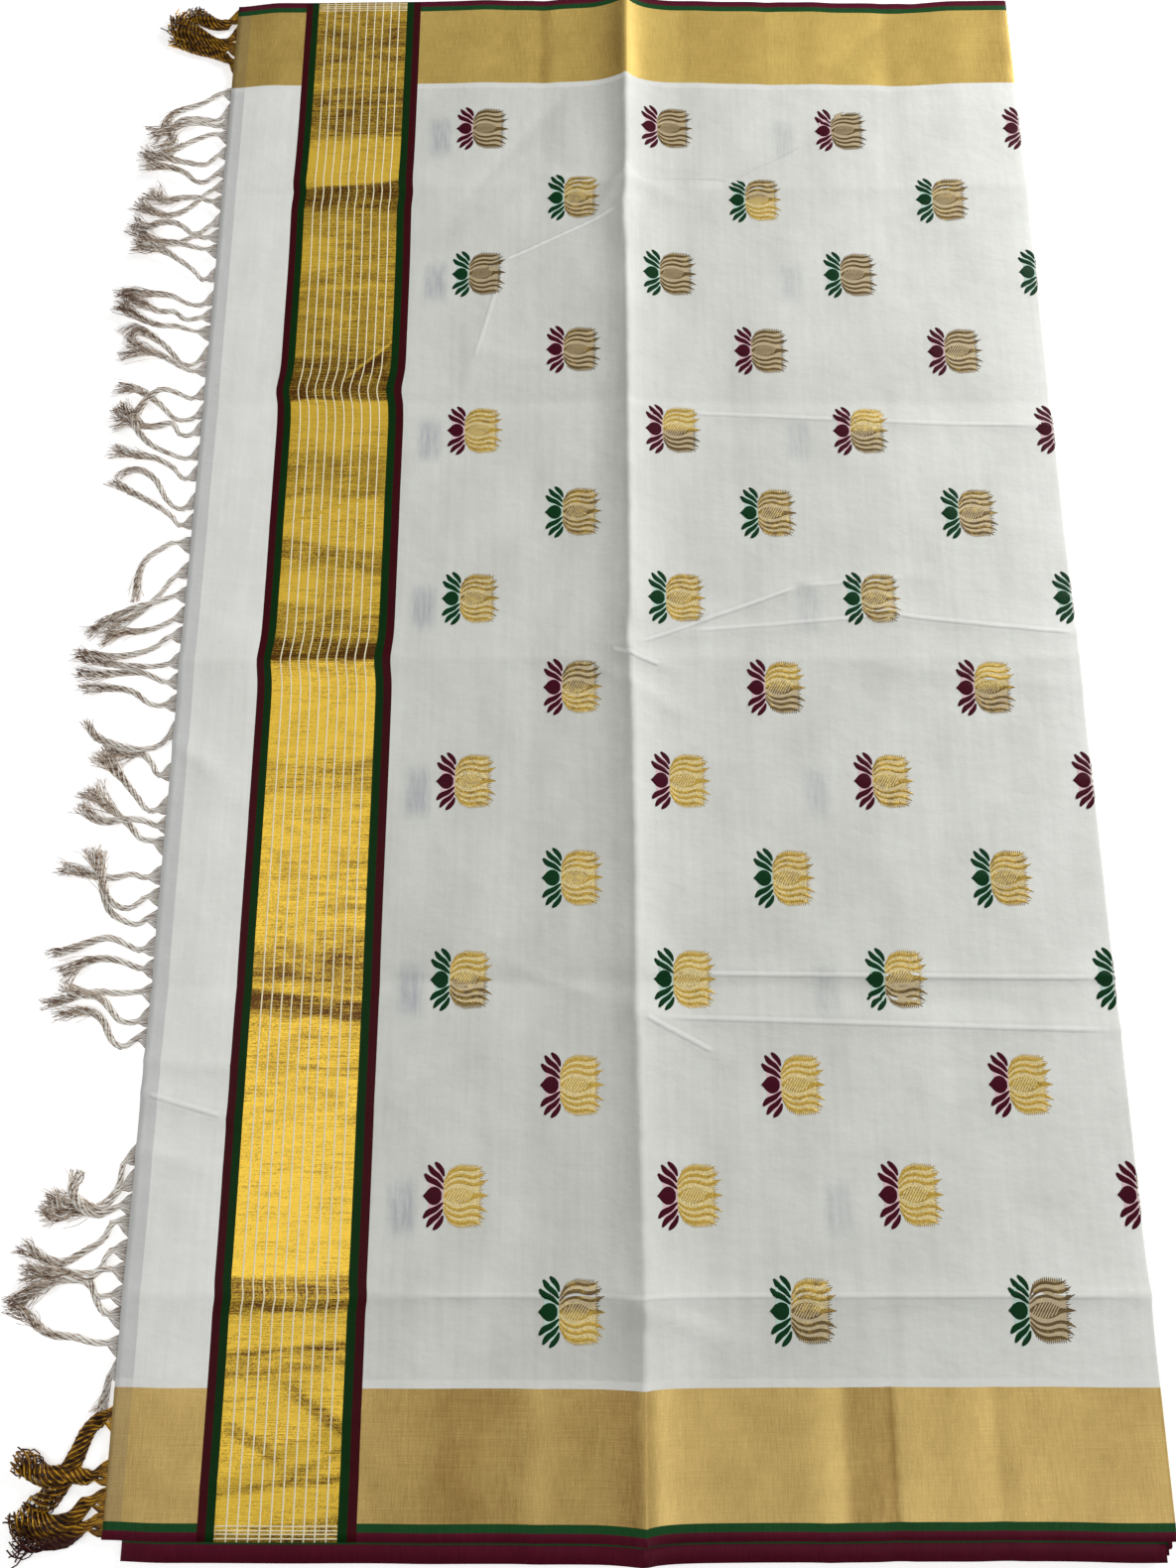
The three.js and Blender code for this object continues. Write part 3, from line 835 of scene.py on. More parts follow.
# %% The second stretch
# The model's walls and the gap between them, in millimetres
WALL = 1
GAP = 0.3
SECOND_SHIFT = (SECOND_NEAR + SECOND_FAR) / 2
BELOW_SLOTS = [COTTON_BELOW, BORDER, SELVAGE_GREEN, SELVAGE_MAROON]
BROAD_MAROON = 589.5
BROAD_GREEN = 584.5
second_marks = [side * place for side in (-1, 1) for place in (BORDER_INNER, BROAD_GREEN, BROAD_MAROON)]
second_vs = grid_lines(NEAR, FAR, 8, second_marks)
second_cloth = flat_grid("second_cloth", grid_lines(SECOND_LEFT, SECOND_RIGHT, 6, [0]), second_vs)
paint_faces(second_cloth, BELOW_SLOTS, lambda u, v: across_slot(v, BROAD_GREEN, BROAD_MAROON))
points = read_points(second_cloth)
points[:, 1] += SECOND_SHIFT
points[:, 2] = lowest_height(points[:, 0], points[:, 1]) - WALL - GAP
write_points(second_cloth, points)
with_thickness(second_cloth, CLOTH_THICKNESS)
smooth(second_cloth)

# %% The hidden stretches
# Each layer's ends along X and its shift along Y, from the top layer down
HIDDEN_LAYERS = 7
LAYER_ENDS = [(-320, 327), (-324, 331), (-321, 333), (-324, 330), (-319, 334), (-323, 331), (-321, 333)]
LAYER_SHIFTS = [-5, -9, -3, -7, -1, -6, -4]
STRAIGHT_STEPS = 40
TURN_STEPS = 4
TURN_REACH = 1.2
HIDDEN_THICKNESS = 0.35
COVER = 2 * (WALL + GAP)
hidden_path = []
for layer in range(HIDDEN_LAYERS):
    left_end, right_end = LAYER_ENDS[layer]
    level = 1 - (layer + 0.5) / HIDDEN_LAYERS
    half = 0.5 / HIDDEN_LAYERS
    for step in range(STRAIGHT_STEPS + 1):
        share = step / STRAIGHT_STEPS
        if layer % 2:
            share = 1 - share
        hidden_path.append((left_end + (right_end - left_end) * share, level, LAYER_SHIFTS[layer]))
    if layer < HIDDEN_LAYERS - 1:
        side = -1 if layer % 2 else 1
        end = left_end if layer % 2 else right_end
        for step in range(1, TURN_STEPS):
            angle = math.pi * step / TURN_STEPS
            shift, next_shift = LAYER_SHIFTS[layer:layer + 2]
            shift = shift + (next_shift - shift) * step / TURN_STEPS
            place = end + side * TURN_REACH * math.sin(angle)
            hidden_path.append((place, level - half + half * math.cos(angle), shift))
hidden_vs = grid_lines(NEAR, FAR, 16, WIDTH_MARKS)
hidden_cloth = flat_grid("hidden_cloth", list(range(len(hidden_path))), hidden_vs)
paint_faces(hidden_cloth, BELOW_SLOTS, lambda u, v: across_slot(v))
points = read_points(hidden_cloth)
route = np.array(hidden_path)[np.rint(points[:, 0]).astype(int)]
points[:, 0] = route[:, 0]
points[:, 1] += route[:, 2]
plain, lowest = plain_height(points[:, 0], points[:, 1]), lowest_height(points[:, 0], points[:, 1])
points[:, 2] = (np.minimum(plain, lowest) - COVER) * route[:, 1]
write_points(hidden_cloth, points)
with_thickness(hidden_cloth, HIDDEN_THICKNESS, 0)
smooth(hidden_cloth)
print("hidden cloth", len(hidden_cloth.data.polygons), "faces")

# %% [markdown]
# ## Lines woven into the pallu band
# Ten cream threads run the length of the band and a few cross it near each selvage. They could be
# stripes of colour in the band, but real ones stand up a little and catch the light. So each is a
# narrow strip laid just proud of the gold.

# %% Cream threads
CREAM_FIRST, CREAM_PITCH, CREAM_COUNT = -260.5, 7.0, 10
CREAM_WIDTH, CROSS_WIDTH = 1.0, 0.7
CREAM_LIFT, CREAM_THICKNESS = 0.12, 0.2
CROSS_LINES = [591, 593.5, 595.5, 598]


def strip(name, u_from, u_to, v_from, v_to, step):
    """A narrow flat grid with one line down its middle."""
    along_v = abs(v_to - v_from) > abs(u_to - u_from)
    us = [u_from, (u_from + u_to) / 2, u_to] if along_v else grid_lines(u_from, u_to, step)
    vs = grid_lines(v_from, v_to, step, crease_marks) if along_v else [v_from, (v_from + v_to) / 2, v_to]
    return flat_grid(name, us, vs)


strips = []
for number in range(CREAM_COUNT):
    middle = CREAM_FIRST + CREAM_PITCH * number
    strips.append(strip("thread", middle - CREAM_WIDTH / 2, middle + CREAM_WIDTH / 2, NEAR, FAR, 5))
for place in CROSS_LINES:
    for side in (-1, 1):
        low = side * place - CROSS_WIDTH / 2
        strips.append(strip("thread", BAND_EDGES[2], BAND_EDGES[3], low, low + CROSS_WIDTH, 5))


def join(pieces, name):
    """Joins finished pieces into one object."""
    bpy.ops.object.select_all(action="DESELECT")
    for piece in pieces:
        piece.select_set(True)
    bpy.context.view_layer.objects.active = pieces[0]
    bpy.ops.object.join()
    joined = bpy.context.object
    joined.name = name
    bpy.ops.object.select_all(action="DESELECT")
    return joined


cream_threads = join(strips, "cream_threads")
cream_threads.data.materials.append(CREAM)
lay_on_cloth(cream_threads, CREAM_LIFT)
with_thickness(cream_threads, CREAM_THICKNESS)
smooth(cream_threads)
print("cream threads", len(cream_threads.data.polygons), "faces")

# %% [markdown]
# ## The lotus motifs
# Each motif is woven in with extra thread: a bud and six sepals in maroon or green silk, and a
# fan of petals in gold. The extra thread stands a little proud of the thin ground and casts fine
# shadows, which a painted motif wouldn't. One petal is a narrow grid bent along a line through a
# few points, and a whole motif is eighty such grids, made once and then copied.

# %% A smooth line through a few points
FINE_STEPS = 12


def smooth_path(points, count):
    """count points, evenly spaced, on a smooth curve that passes through the given ones."""
    points = np.array(points, float)
    ends = np.vstack([2 * points[0] - points[1], points, 2 * points[-1] - points[-2]])
    fine = []
    for before, start, end, after in zip(ends, ends[1:], ends[2:], ends[3:]):
        for share in np.linspace(0, 1, FINE_STEPS, endpoint=False):
            linear = (end - before) * share
            square = (2 * before - 5 * start + 4 * end - after) * share ** 2
            cube = (3 * start - 3 * end + after - before) * share ** 3
            fine.append(start + (linear + square + cube) / 2)
    fine = np.array(fine + [points[-1]])
    run = distance_along(fine)
    places = np.linspace(0, run[-1], count)
    return np.stack([np.interp(places, run, column) for column in fine.T], axis=-1)


def distance_along(path):
    """How far along the path each of its points is."""
    return np.concatenate([[0], np.cumsum(np.linalg.norm(np.diff(path, axis=0), axis=1))])


def sideways_of(path):
    """The direction across the path at each of its points."""
    heading = np.gradient(path, axis=0)
    heading /= np.linalg.norm(heading, axis=1)[:, None]
    return np.stack([-heading[:, 1], heading[:, 0]], axis=-1)


# %% [markdown]
# Gold thread catches the light in some motifs and lies dull in others, often half and half. That
# depends on how tightly each was beaten in and which way it leans. Each motif has two numbers for
# it, for its far half and its near half, kept in an attribute, and the material paints that shine
# and shade into the gold's colour.

# %% Silk and gold of the motifs
def motif_gold(name, dull, bright, metallic):
    """Gold thread, its shine and shade painted in as the motif's own attribute says."""
    finish = Finish(name, Metallic=metallic, Roughness=0.42, Specular_IOR_Level=0.45)
    _, _, where = finish.place()
    shine = finish.node("ShaderNodeAttribute", {"attribute_name": "shine"}, output="Fac")
    grains = finish.noise(where, (1.1, 1.1, 1.1), 2.0)
    patches = finish.noise(where, (5, 4, 5), 2.0)
    leaning = shine + (patches - 0.5) * 0.9 + (grains - 0.5) * 0.8
    lit = finish.spread(leaning, 0.25, 0.8, kind="LINEAR")
    threads = finish.noise(where, (0.5, 3, 2), 1.0)
    shaded = finish.colours(threads, dimmed(dull, 0.82), dull)
    specks = (grains - 0.5) * 2.2 + 0.6
    sparkle = finish.colours(specks, dimmed(bright, 0.74), bright)
    finish.feed("Base Color", finish.colours(lit, shaded, sparkle))
    finish.bump(grains + threads, 0.5, 0.25)
    return finish.material


SILK_GRAIN = (1.2, 1.2, 1.2)
MOTIF_MAROON = thread_finish("motif_maroon", (44, 0, 16), (84, 8, 40), SILK_GRAIN)
MOTIF_GREEN = thread_finish("motif_green", (0, 34, 16), (12, 70, 36), SILK_GRAIN)
MAROON_TINT = thread_finish("maroon_tint", (206, 168, 176), (240, 216, 218), SILK_GRAIN)
GREEN_TINT = thread_finish("green_tint", (168, 200, 188), (212, 232, 222), SILK_GRAIN)
TINTS = {MOTIF_MAROON: MAROON_TINT, MOTIF_GREEN: GREEN_TINT}
MOTIF_GOLD = motif_gold("motif_gold", (112, 90, 52), (222, 182, 78), 0.3)
MOTIF_GROUND = motif_gold("motif_ground", (212, 192, 154), (252, 228, 160), 0.1)
MOTIF_LINE = motif_gold("motif_line", (218, 196, 156), (255, 236, 172), 0.1)

# %% One petal
def petal(name, points, widths, rise, material, steps=8, across=3):
    """A grid bent along a smooth line, with its widths spread evenly along it."""
    shares = [number / steps for number in range(steps + 1)]
    sides = [number / across - 0.5 for number in range(across + 1)]
    piece = flat_grid(name, shares, sides)
    flat = read_points(piece)
    path = smooth_path(points, steps + 1)
    row = np.rint(flat[:, 0] * steps).astype(int)
    width = np.interp(flat[:, 0], np.linspace(0, 1, len(widths)), widths)
    flat[:, 2] = rise * (1 - (2 * flat[:, 1]) ** 2)
    flat[:, :2] = path[row] + sideways_of(path)[row] * (flat[:, 1] * width)[:, None]
    write_points(piece, flat)
    piece.data.materials.append(material)
    return piece


# %% The parts of a motif, in millimetres from where the bud meets the gold
BUD = [(-0.8, 0), (-6, 0), (-13.4, 0)]
BUD_WIDTHS = [4.4, 9.2, 11.2, 12.0, 11.8, 10.4, 7.4, 3.6, 0.3]
SEPALS = [
    ([(0.2, 4.4), (-4.6, 8.3), (-9.4, 10.6), (-12.6, 14.0)], [1.2, 2.8, 3.8, 4.2, 3.9, 1.6]),
    ([(0.2, 8.4), (-3.2, 12.5), (-7.2, 15.4), (-10.2, 19.6)], [1.2, 2.8, 3.5, 3.8, 3.6, 1.4]),
    ([(0.4, 12.4), (-1.0, 16.0), (-3.2, 18.8), (-5.8, 21.4)], [1.2, 2.6, 3.3, 3.5, 3.2, 1.4]),
]
TINT = [(0.2, 0), (-5, 0), (-9.6, 0)]
TINT_WIDTHS = [27, 34, 35, 34, 26]
PANEL = [(0.3, 0), (12, 0), (24.5, 0)]
PANEL_WIDTHS = [17, 30, 35.5, 38, 38.5, 38.5, 38, 36, 34]
ALMOND = [(0.8, 0), (11, 0), (22.5, 0)]
ALMOND_WIDTHS = [2, 8.6, 11.2, 11.6, 10.6, 7.6, 1.4]
TIP = [(20.5, 0), (25, 0.2), (30.5, 0)]
TIP_WIDTHS = [5.4, 4, 2.2, 0.3]
PETALS = [
    ([(0.8, 4.0), (5.5, 7.7), (12, 8.9), (19.5, 7.0), (25, 7.8), (30, 10.2)],
     [1, 2.0, 2.4, 2.4, 2.6, 0.3]),
    ([(0.8, 6.8), (5, 11.2), (12, 13.0), (19, 11.6), (24, 12.4), (28.4, 14.8)],
     [1, 2.0, 2.4, 2.4, 2.4, 0.3]),
    ([(1.0, 9.4), (4.6, 14.6), (11, 17.0), (18, 16.4), (22.5, 16.8), (26, 18.8)],
     [1, 2.0, 2.4, 2.3, 2.0, 0.3]),
]
# Slanting lines across the almond
HATCH_FIRST, HATCH_PITCH, HATCH_LEAN, HATCH_LIFT = 3.4, 1.9, 3.2, 0.22
HATCH_HALF = [3.2, 4.5, 5.2, 5.5, 5.5, 5.2, 4.7, 3.9, 2.8]
# Short teeth of gold outside the petals, along the line of (x, y) points, and across the end
COMB_COUNT, COMB_FIRST, COMB_PITCH = 15, 3.6, 1.35
COMB_EDGE = [(1, 11), (4.6, 15.4), (11, 18.2), (18, 17.6), (22.5, 17.4)]
END_COUNT, END_FIRST, END_PITCH = 24, -16.8, 1.45


def raise_points(piece, height):
    """Lifts a flat piece off the ground."""
    points = read_points(piece)
    points[:, 2] += height
    write_points(piece, points)


def make_motif():
    """One lotus, flat, with its bud and sepals in maroon."""
    parts = [petal("motif", PANEL, PANEL_WIDTHS, 0.05, MOTIF_GROUND, 8, 8)]
    parts.append(petal("tint", TINT, TINT_WIDTHS, 0.02, MAROON_TINT, 4, 8))
    parts.append(petal("bud", BUD, BUD_WIDTHS, 0.45, MOTIF_MAROON, 8, 6))
    parts.append(petal("almond", ALMOND, ALMOND_WIDTHS, 0.25, MOTIF_GOLD, 8, 6))
    parts.append(petal("tip", TIP, TIP_WIDTHS, 0.2, MOTIF_GOLD, 4, 2))
    for side in (-1, 1):
        for points, widths in SEPALS:
            mirrored = [(x, side * y) for x, y in points]
            parts.append(petal("sepal", mirrored, widths, 0.4, MOTIF_MAROON))
        for points, widths in PETALS:
            mirrored = [(x, side * y) for x, y in points]
            parts.append(petal("petal", mirrored, widths, 0.3, MOTIF_GOLD, 12, 3))
        for number in range(COMB_COUNT):
            x = COMB_FIRST + COMB_PITCH * number
            inner = np.interp(x, *zip(*COMB_EDGE))
            tooth = [(x, side * inner), (x + 0.4, side * (inner + 2.3))]
            parts.append(petal("tooth", tooth, [0.8, 0.5], 0.2, MOTIF_GOLD, 2, 2))
    for number in range(END_COUNT):
        y = END_FIRST + END_PITCH * number
        length = 1.6 if number % 2 else 2.8
        tooth = [(24.2, y), (24.4 + length, y + 0.5)]
        parts.append(petal("tooth", tooth, [0.8, 0.4], 0.2, MOTIF_GOLD, 2, 2))
    for number, half in enumerate(HATCH_HALF):
        x = HATCH_FIRST + HATCH_PITCH * number
        lean = HATCH_LEAN * half / max(HATCH_HALF)
        line = [(x - lean, -half), (x + lean, half)]
        parts.append(petal("hatch", line, [0.75, 0.75], 0.1, MOTIF_LINE, 6, 2))
        raise_points(parts[-1], HATCH_LIFT)
    return join(parts, "motif")


motif = make_motif()
print("one motif", len(motif.data.polygons), "faces")

# %% Where the motifs stand: the thread of each row, and the painted shine of each motif's two halves
COLUMN_X = [-130.1, -52.4, 26.3, 98.9, 174.8, 255.0, 334.1]
MOTIF_ROWS = [
    (MOTIF_MAROON, [(0.15, 0.1), (0.2, 0.15), (0.1, 0.1), (0.1, 0.1)]),
    (MOTIF_GREEN, [(0.6, 0.4), (0.35, 0.8), (0.35, 0.3)]),
    (MOTIF_GREEN, [(0.15, 0.15), (0.2, 0.2), (0.15, 0.1), (0.1, 0.1)]),
    (MOTIF_MAROON, [(0.25, 0.2), (0.15, 0.2), (0.2, 0.25)]),
    (MOTIF_MAROON, [(0.7, 0.75), (0.95, 0.15), (0.8, 0.2), (0.2, 0.2)]),
    (MOTIF_GREEN, [(0.45, 0.4), (0.4, 0.4), (0.35, 0.25)]),
    (MOTIF_GREEN, [(0.55, 0.65), (0.65, 0.7), (0.45, 0.4), (0.2, 0.2)]),
    (MOTIF_MAROON, [(0.35, 0.7), (0.75, 0.25), (0.85, 0.3), (0.2, 0.2)]),
    (MOTIF_MAROON, [(0.7, 0.7), (0.8, 0.8), (0.7, 0.6), (0.3, 0.3)]),
    (MOTIF_GREEN, [(0.75, 0.75), (0.7, 0.75), (0.65, 0.6)]),
    (MOTIF_GREEN, [(0.75, 0.35), (0.85, 0.8), (0.75, 0.3), (0.3, 0.3)]),
    (MOTIF_MAROON, [(0.9, 0.85), (0.9, 0.85), (0.85, 0.8)]),
    (MOTIF_MAROON, [(0.9, 0.95), (0.9, 0.9), (0.85, 0.8), (0.4, 0.4)]),
    (MOTIF_GREEN, [(0.3, 0.95), (0.6, 0.25), (0.15, 0.15)]),
]


def place_motif(x, y, silk, shine):
    """Copies the motif, gives it its own mesh and finishes, and moves it to its place."""
    copy = motif.copy()
    copy.data = motif.data.copy()
    bpy.context.scene.collection.objects.link(copy)
    copy.data.materials[copy.data.materials.find(MOTIF_MAROON.name)] = silk
    copy.data.materials[copy.data.materials.find(MAROON_TINT.name)] = TINTS[silk]
    points = read_points(copy)
    far_half = np.clip(points[:, 1] / 6 + 0.5, 0, 1)
    values = shine[1] + (shine[0] - shine[1]) * far_half
    attribute = copy.data.attributes.new("shine", "FLOAT", "POINT")
    attribute.data.foreach_set("value", values.astype(np.float32))
    points[:, 0] += x
    points[:, 1] += y
    write_points(copy, points)
    return copy


copies = []
for row, (silk, shines) in enumerate(MOTIF_ROWS):
    for place, shine in enumerate(shines):
        column = 2 * place + row % 2
        if column < len(COLUMN_X):
            copies.append(place_motif(COLUMN_X[column], FIRST_ROW_Y - ROW_PITCH * row, silk, shine))
bpy.data.objects.remove(motif)
motif_count = len(copies)
motifs = join(copies, "motifs")

# %% The last column runs round the fold, and what would lie past the tucked edge is cut off
MOTIF_LIFT = 0.1
bpy.context.view_layer.objects.active = motifs
motifs.select_set(True)
bpy.ops.object.mode_set(mode="EDIT")
bpy.ops.mesh.select_all(action="SELECT")
bpy.ops.mesh.bisect(plane_co=((FLAT_END - 1) * MM, 0, 0), plane_no=(1, 0, 0), clear_outer=True)
bpy.ops.object.mode_set(mode="OBJECT")
lay_on_cloth(motifs, MOTIF_LIFT)
smooth(motifs)
bpy.ops.object.select_all(action="DESELECT")
print(motif_count, "motifs,", len(motifs.data.polygons), "faces")

# %% [markdown]
# ## The fringe
# Where the weave stops, the warp threads run on. A weaver gathers them in bunches, ties each in a
# small knot and leaves a tail. Every tassel here is a bundle of single threads: they fan out from
# the cloth's edge, meet in the knot, turn round each other down the tail and fray at its end. Hair
# particles could grow a fringe too, but not its knots. Curves with a round section can follow any
# route, and the tails' routes are given point by point, because no two lie alike.

# %% Routes of the white tails: root along the edge, points of the tail, spread of its frayed end
WHITE_TASSELS = [
    (506, [(-350, 508), (-364, 499), (-380, 493), (-391, 485), (-394, 470)], 4),
    (491, [(-350, 480), (-360, 482), (-378, 481), (-389, 470), (-386, 457), (-398, 447)], 5),
    (476, [(-350, 474), (-362, 477), (-378, 474), (-392, 468), (-404, 462)], 9),
    (461, [(-351, 466), (-364, 463), (-380, 454), (-396, 443), (-412, 449)], 5),
    (446, [(-348, 443), (-357, 435), (-375, 437), (-392, 441), (-406, 443)], 5),
    (427, [(-347, 424), (-356, 417), (-364, 417), (-373, 425), (-387, 430), (-408, 431)], 3),
    (411, [(-349, 408), (-358, 402), (-369, 391), (-384, 385), (-400, 390), (-411, 397)], 5),
    (395, [(-350, 397), (-360, 402), (-374, 401), (-388, 398), (-401, 408)], 10),
    (379, [(-350, 372), (-361, 365), (-372, 373), (-386, 376), (-399, 371), (-411, 377)], 5),
    (363, [(-352, 362), (-362, 364), (-376, 357), (-390, 360), (-402, 366), (-412, 374)], 5),
    (348, [(-352, 351), (-366, 355), (-380, 357), (-395, 354), (-408, 355)], 7),
    (326, [(-350, 321), (-358, 330), (-372, 340), (-388, 350), (-408, 352)], 4),
    (304, [(-350, 297), (-362, 300), (-375, 307), (-392, 309), (-408, 310), (-418, 305)], 5),
    (287, [(-351, 285), (-362, 284), (-371, 291), (-384, 291), (-400, 299), (-415, 302)], 8),
    (270, [(-354, 273), (-366, 277), (-382, 277), (-398, 285), (-415, 297)], 6),
    (253, [(-351, 242), (-362, 244), (-372, 256), (-386, 268), (-401, 276), (-407, 269)], 6),
    (237, [(-352, 236), (-366, 243), (-378, 250), (-392, 254), (-408, 257)], 12),
    (217, [(-350, 211), (-362, 216), (-375, 218), (-386, 208), (-394, 195), (-405, 204)], 5),
    (201, [(-349, 193), (-362, 193), (-374, 205), (-385, 214), (-398, 221), (-411, 222)], 5),
    (185, [(-349, 178), (-357, 179), (-364, 189), (-374, 186), (-386, 185), (-397, 191),
           (-409, 191)], 8),
    (163, [(-349, 157), (-362, 161), (-376, 167), (-388, 178), (-396, 192), (-406, 202)], 5),
    (145, [(-350, 139), (-360, 150), (-374, 158), (-390, 162), (-409, 166)], 5),
    (121, [(-350, 113), (-362, 121), (-372, 138), (-385, 147), (-397, 145), (-402, 140)], 1),
    (103, [(-350, 99), (-358, 108), (-372, 117), (-388, 126), (-406, 136)], 1),
    (82, [(-354, 85), (-364, 80), (-375, 70), (-379, 55), (-378, 36)], 2),
    (62, [(-352, 55), (-360, 42), (-368, 33), (-380, 22), (-395, 15)], 3),
    (41, [(-351, 40), (-361, 36), (-375, 31), (-388, 25), (-400, 17), (-411, 8)], 4),
    (25, [(-350, 20), (-358, 16), (-372, 12), (-388, 11), (-402, 6)], 7),
    (8, [(-352, 6), (-360, -1), (-375, -7), (-390, -9), (-405, -8), (-419, -7)], 3),
    (-13, [(-350, -16), (-365, -17), (-382, -17), (-398, -14), (-415, -9)], 3),
    (-29, [(-350, -30), (-362, -24), (-372, -21), (-390, -22), (-405, -23), (-417, -22)], 3),
    (-46, [(-352, -48), (-361, -46), (-372, -38), (-382, -35), (-398, -33), (-412, -33)], 3),
    (-66, [(-347, -76), (-356, -81), (-370, -82), (-385, -78), (-398, -72), (-405, -60)], 1),
    (-99, [(-349, -102), (-355, -92), (-364, -85), (-378, -86), (-389, -83)], 8),
    (-124, [(-350, -129), (-356, -127), (-364, -117), (-374, -105), (-384, -93), (-394, -84)], 8),
    (-139, [(-347, -140), (-356, -136), (-368, -135), (-383, -137), (-394, -132), (-402, -124)], 4),
    (-155, [(-350, -151), (-358, -149), (-366, -140), (-376, -131), (-388, -121), (-398, -110)], 9),
    (-176, [(-352, -178), (-362, -175), (-373, -178), (-387, -177), (-400, -173), (-413, -171)], 4),
    (-192, [(-350, -192), (-358, -199), (-366, -200), (-376, -193), (-382, -178), (-388, -165),
            (-392, -156)], 4),
    (-208, [(-349, -208), (-354, -212), (-364, -209), (-375, -202), (-381, -188), (-384, -172),
            (-386, -158)], 3),
    (-227, [(-351, -230), (-362, -225), (-374, -221), (-386, -224), (-399, -229), (-413, -232)], 1),
    (-243, [(-349, -243), (-362, -238), (-374, -236), (-386, -238), (-395, -243), (-402, -249)], 6),
    (-260, [(-348, -259), (-362, -260), (-376, -259), (-390, -261), (-402, -265), (-413, -268)], 2),
    (-276, [(-349, -280), (-360, -279), (-368, -270), (-377, -262), (-390, -260), (-402, -256)], 3),
    (-291, [(-347, -291), (-356, -297), (-364, -292), (-370, -280), (-379, -273), (-391, -273),
            (-403, -275)], 4),
    (-368, [(-348, -374), (-350, -388), (-358, -399), (-372, -405), (-386, -402), (-397, -402)], 10),
    (-384, [(-350, -392), (-360, -403), (-374, -400), (-386, -404), (-396, -398)], 10),
    (-400, [(-350, -402), (-362, -407), (-374, -401), (-380, -390), (-377, -378)], 3),
    (-414, [(-351, -411), (-357, -422), (-369, -430), (-384, -437), (-398, -433), (-411, -426)], 4),
    (-429, [(-352, -430), (-357, -441), (-366, -444), (-382, -443), (-396, -443), (-407, -441)], 5),
    (-443, [(-350, -441), (-357, -441), (-364, -447), (-380, -447), (-396, -452), (-411, -463)], 4),
    (-457, [(-350, -457), (-358, -458), (-363, -451), (-376, -446), (-390, -449), (-404, -457),
            (-413, -465)], 4),
    (-471, [(-351, -468), (-358, -460), (-363, -449), (-376, -444), (-390, -446), (-403, -452)], 8),
    (-488, [(-349, -486), (-357, -486), (-370, -482), (-386, -480), (-400, -470), (-414, -463)], 4),
    (-501, [(-344, -506), (-346, -517), (-348, -528)], 1),
]
ZARI_FAR_TASSELS = [
    (590, [(-350, 582), (-362, 584), (-374, 592), (-382, 599)], 5),
    (572, [(-348, 562), (-362, 564), (-382, 578), (-394, 596)], 6),
    (554, [(-350, 557), (-366, 561), (-384, 568), (-396, 584)], 6),
    (535, [(-347, 545), (-360, 553), (-376, 559), (-397, 573)], 4),
]
ZARI_NEAR_TASSELS = [
    (-531, [(-347, -531), (-355, -538), (-361, -552), (-368, -566), (-380, -579), (-393, -583)], 6),
    (-562, [(-352, -565), (-366, -563), (-380, -564), (-392, -556), (-402, -557)], 2),
    (-578, [(-352, -580), (-360, -589), (-374, -592), (-388, -588), (-395, -581)], 7),
    (-591, [(-354, -594), (-364, -600), (-378, -600), (-390, -601), (-399, -602)], 7),
]

# %% Threads of one tassel
# Where along X the threads leave the weave, and how wide a tassel's fan is there
EDGE_X = -339.6
ROOT_WIDTH = 15.2
# The share of the threads that lie inside the bundle, and how far out they lie in it
THREADS = 20
INNER_SHARE = 0.3
INNER_RING = 0.45
# Threads drift apart in strands, from a share of the run, over a share, and slowly at first
STRANDS = 3
LOOSE_FROM, LOOSE_OVER, LOOSE_START = 0.55, 0.45, 1.6
THREAD_POINTS = 20
THREAD_RADIUS = 0.37
TWIST_PITCH = 34
# From the edge the tails drop to this height, and some lie higher, over their neighbours
TAIL_LEVEL = 2.2
DROP_LENGTH = 30
LIFTS = [0, 1.8, 3.4]
EDGE_DEPTH = 0.6
FLATTEN = 0.6
# Radius of the bundle: in the weave, before the knot, in it, after it, down the tail and at its end
BUNDLE = [1.2, 1.1, 2.1, 1.8, 2.6, 3.3]


def ease(share):
    """Goes from 0 to 1 with a soft start and end."""
    share = np.clip(share, 0, 1)
    return share * share * (3 - 2 * share)


def tassel_route(root, route, lift):
    """The middle line of a tassel: its points, the direction across it, its run and its height."""
    path = smooth_path([(EDGE_X, root), *route], THREAD_POINTS)
    run = distance_along(path)
    knot = math.hypot(route[0][0] - EDGE_X, route[0][1] - root)
    edge = float(plain_height(np.array(EDGE_X), np.array(root))) - EDGE_DEPTH
    level = TAIL_LEVEL + lift * ease((run - knot) / DROP_LENGTH)
    height = level + (edge - level) * (1 - ease(run / DROP_LENGTH))
    return path, sideways_of(path), run, knot, height


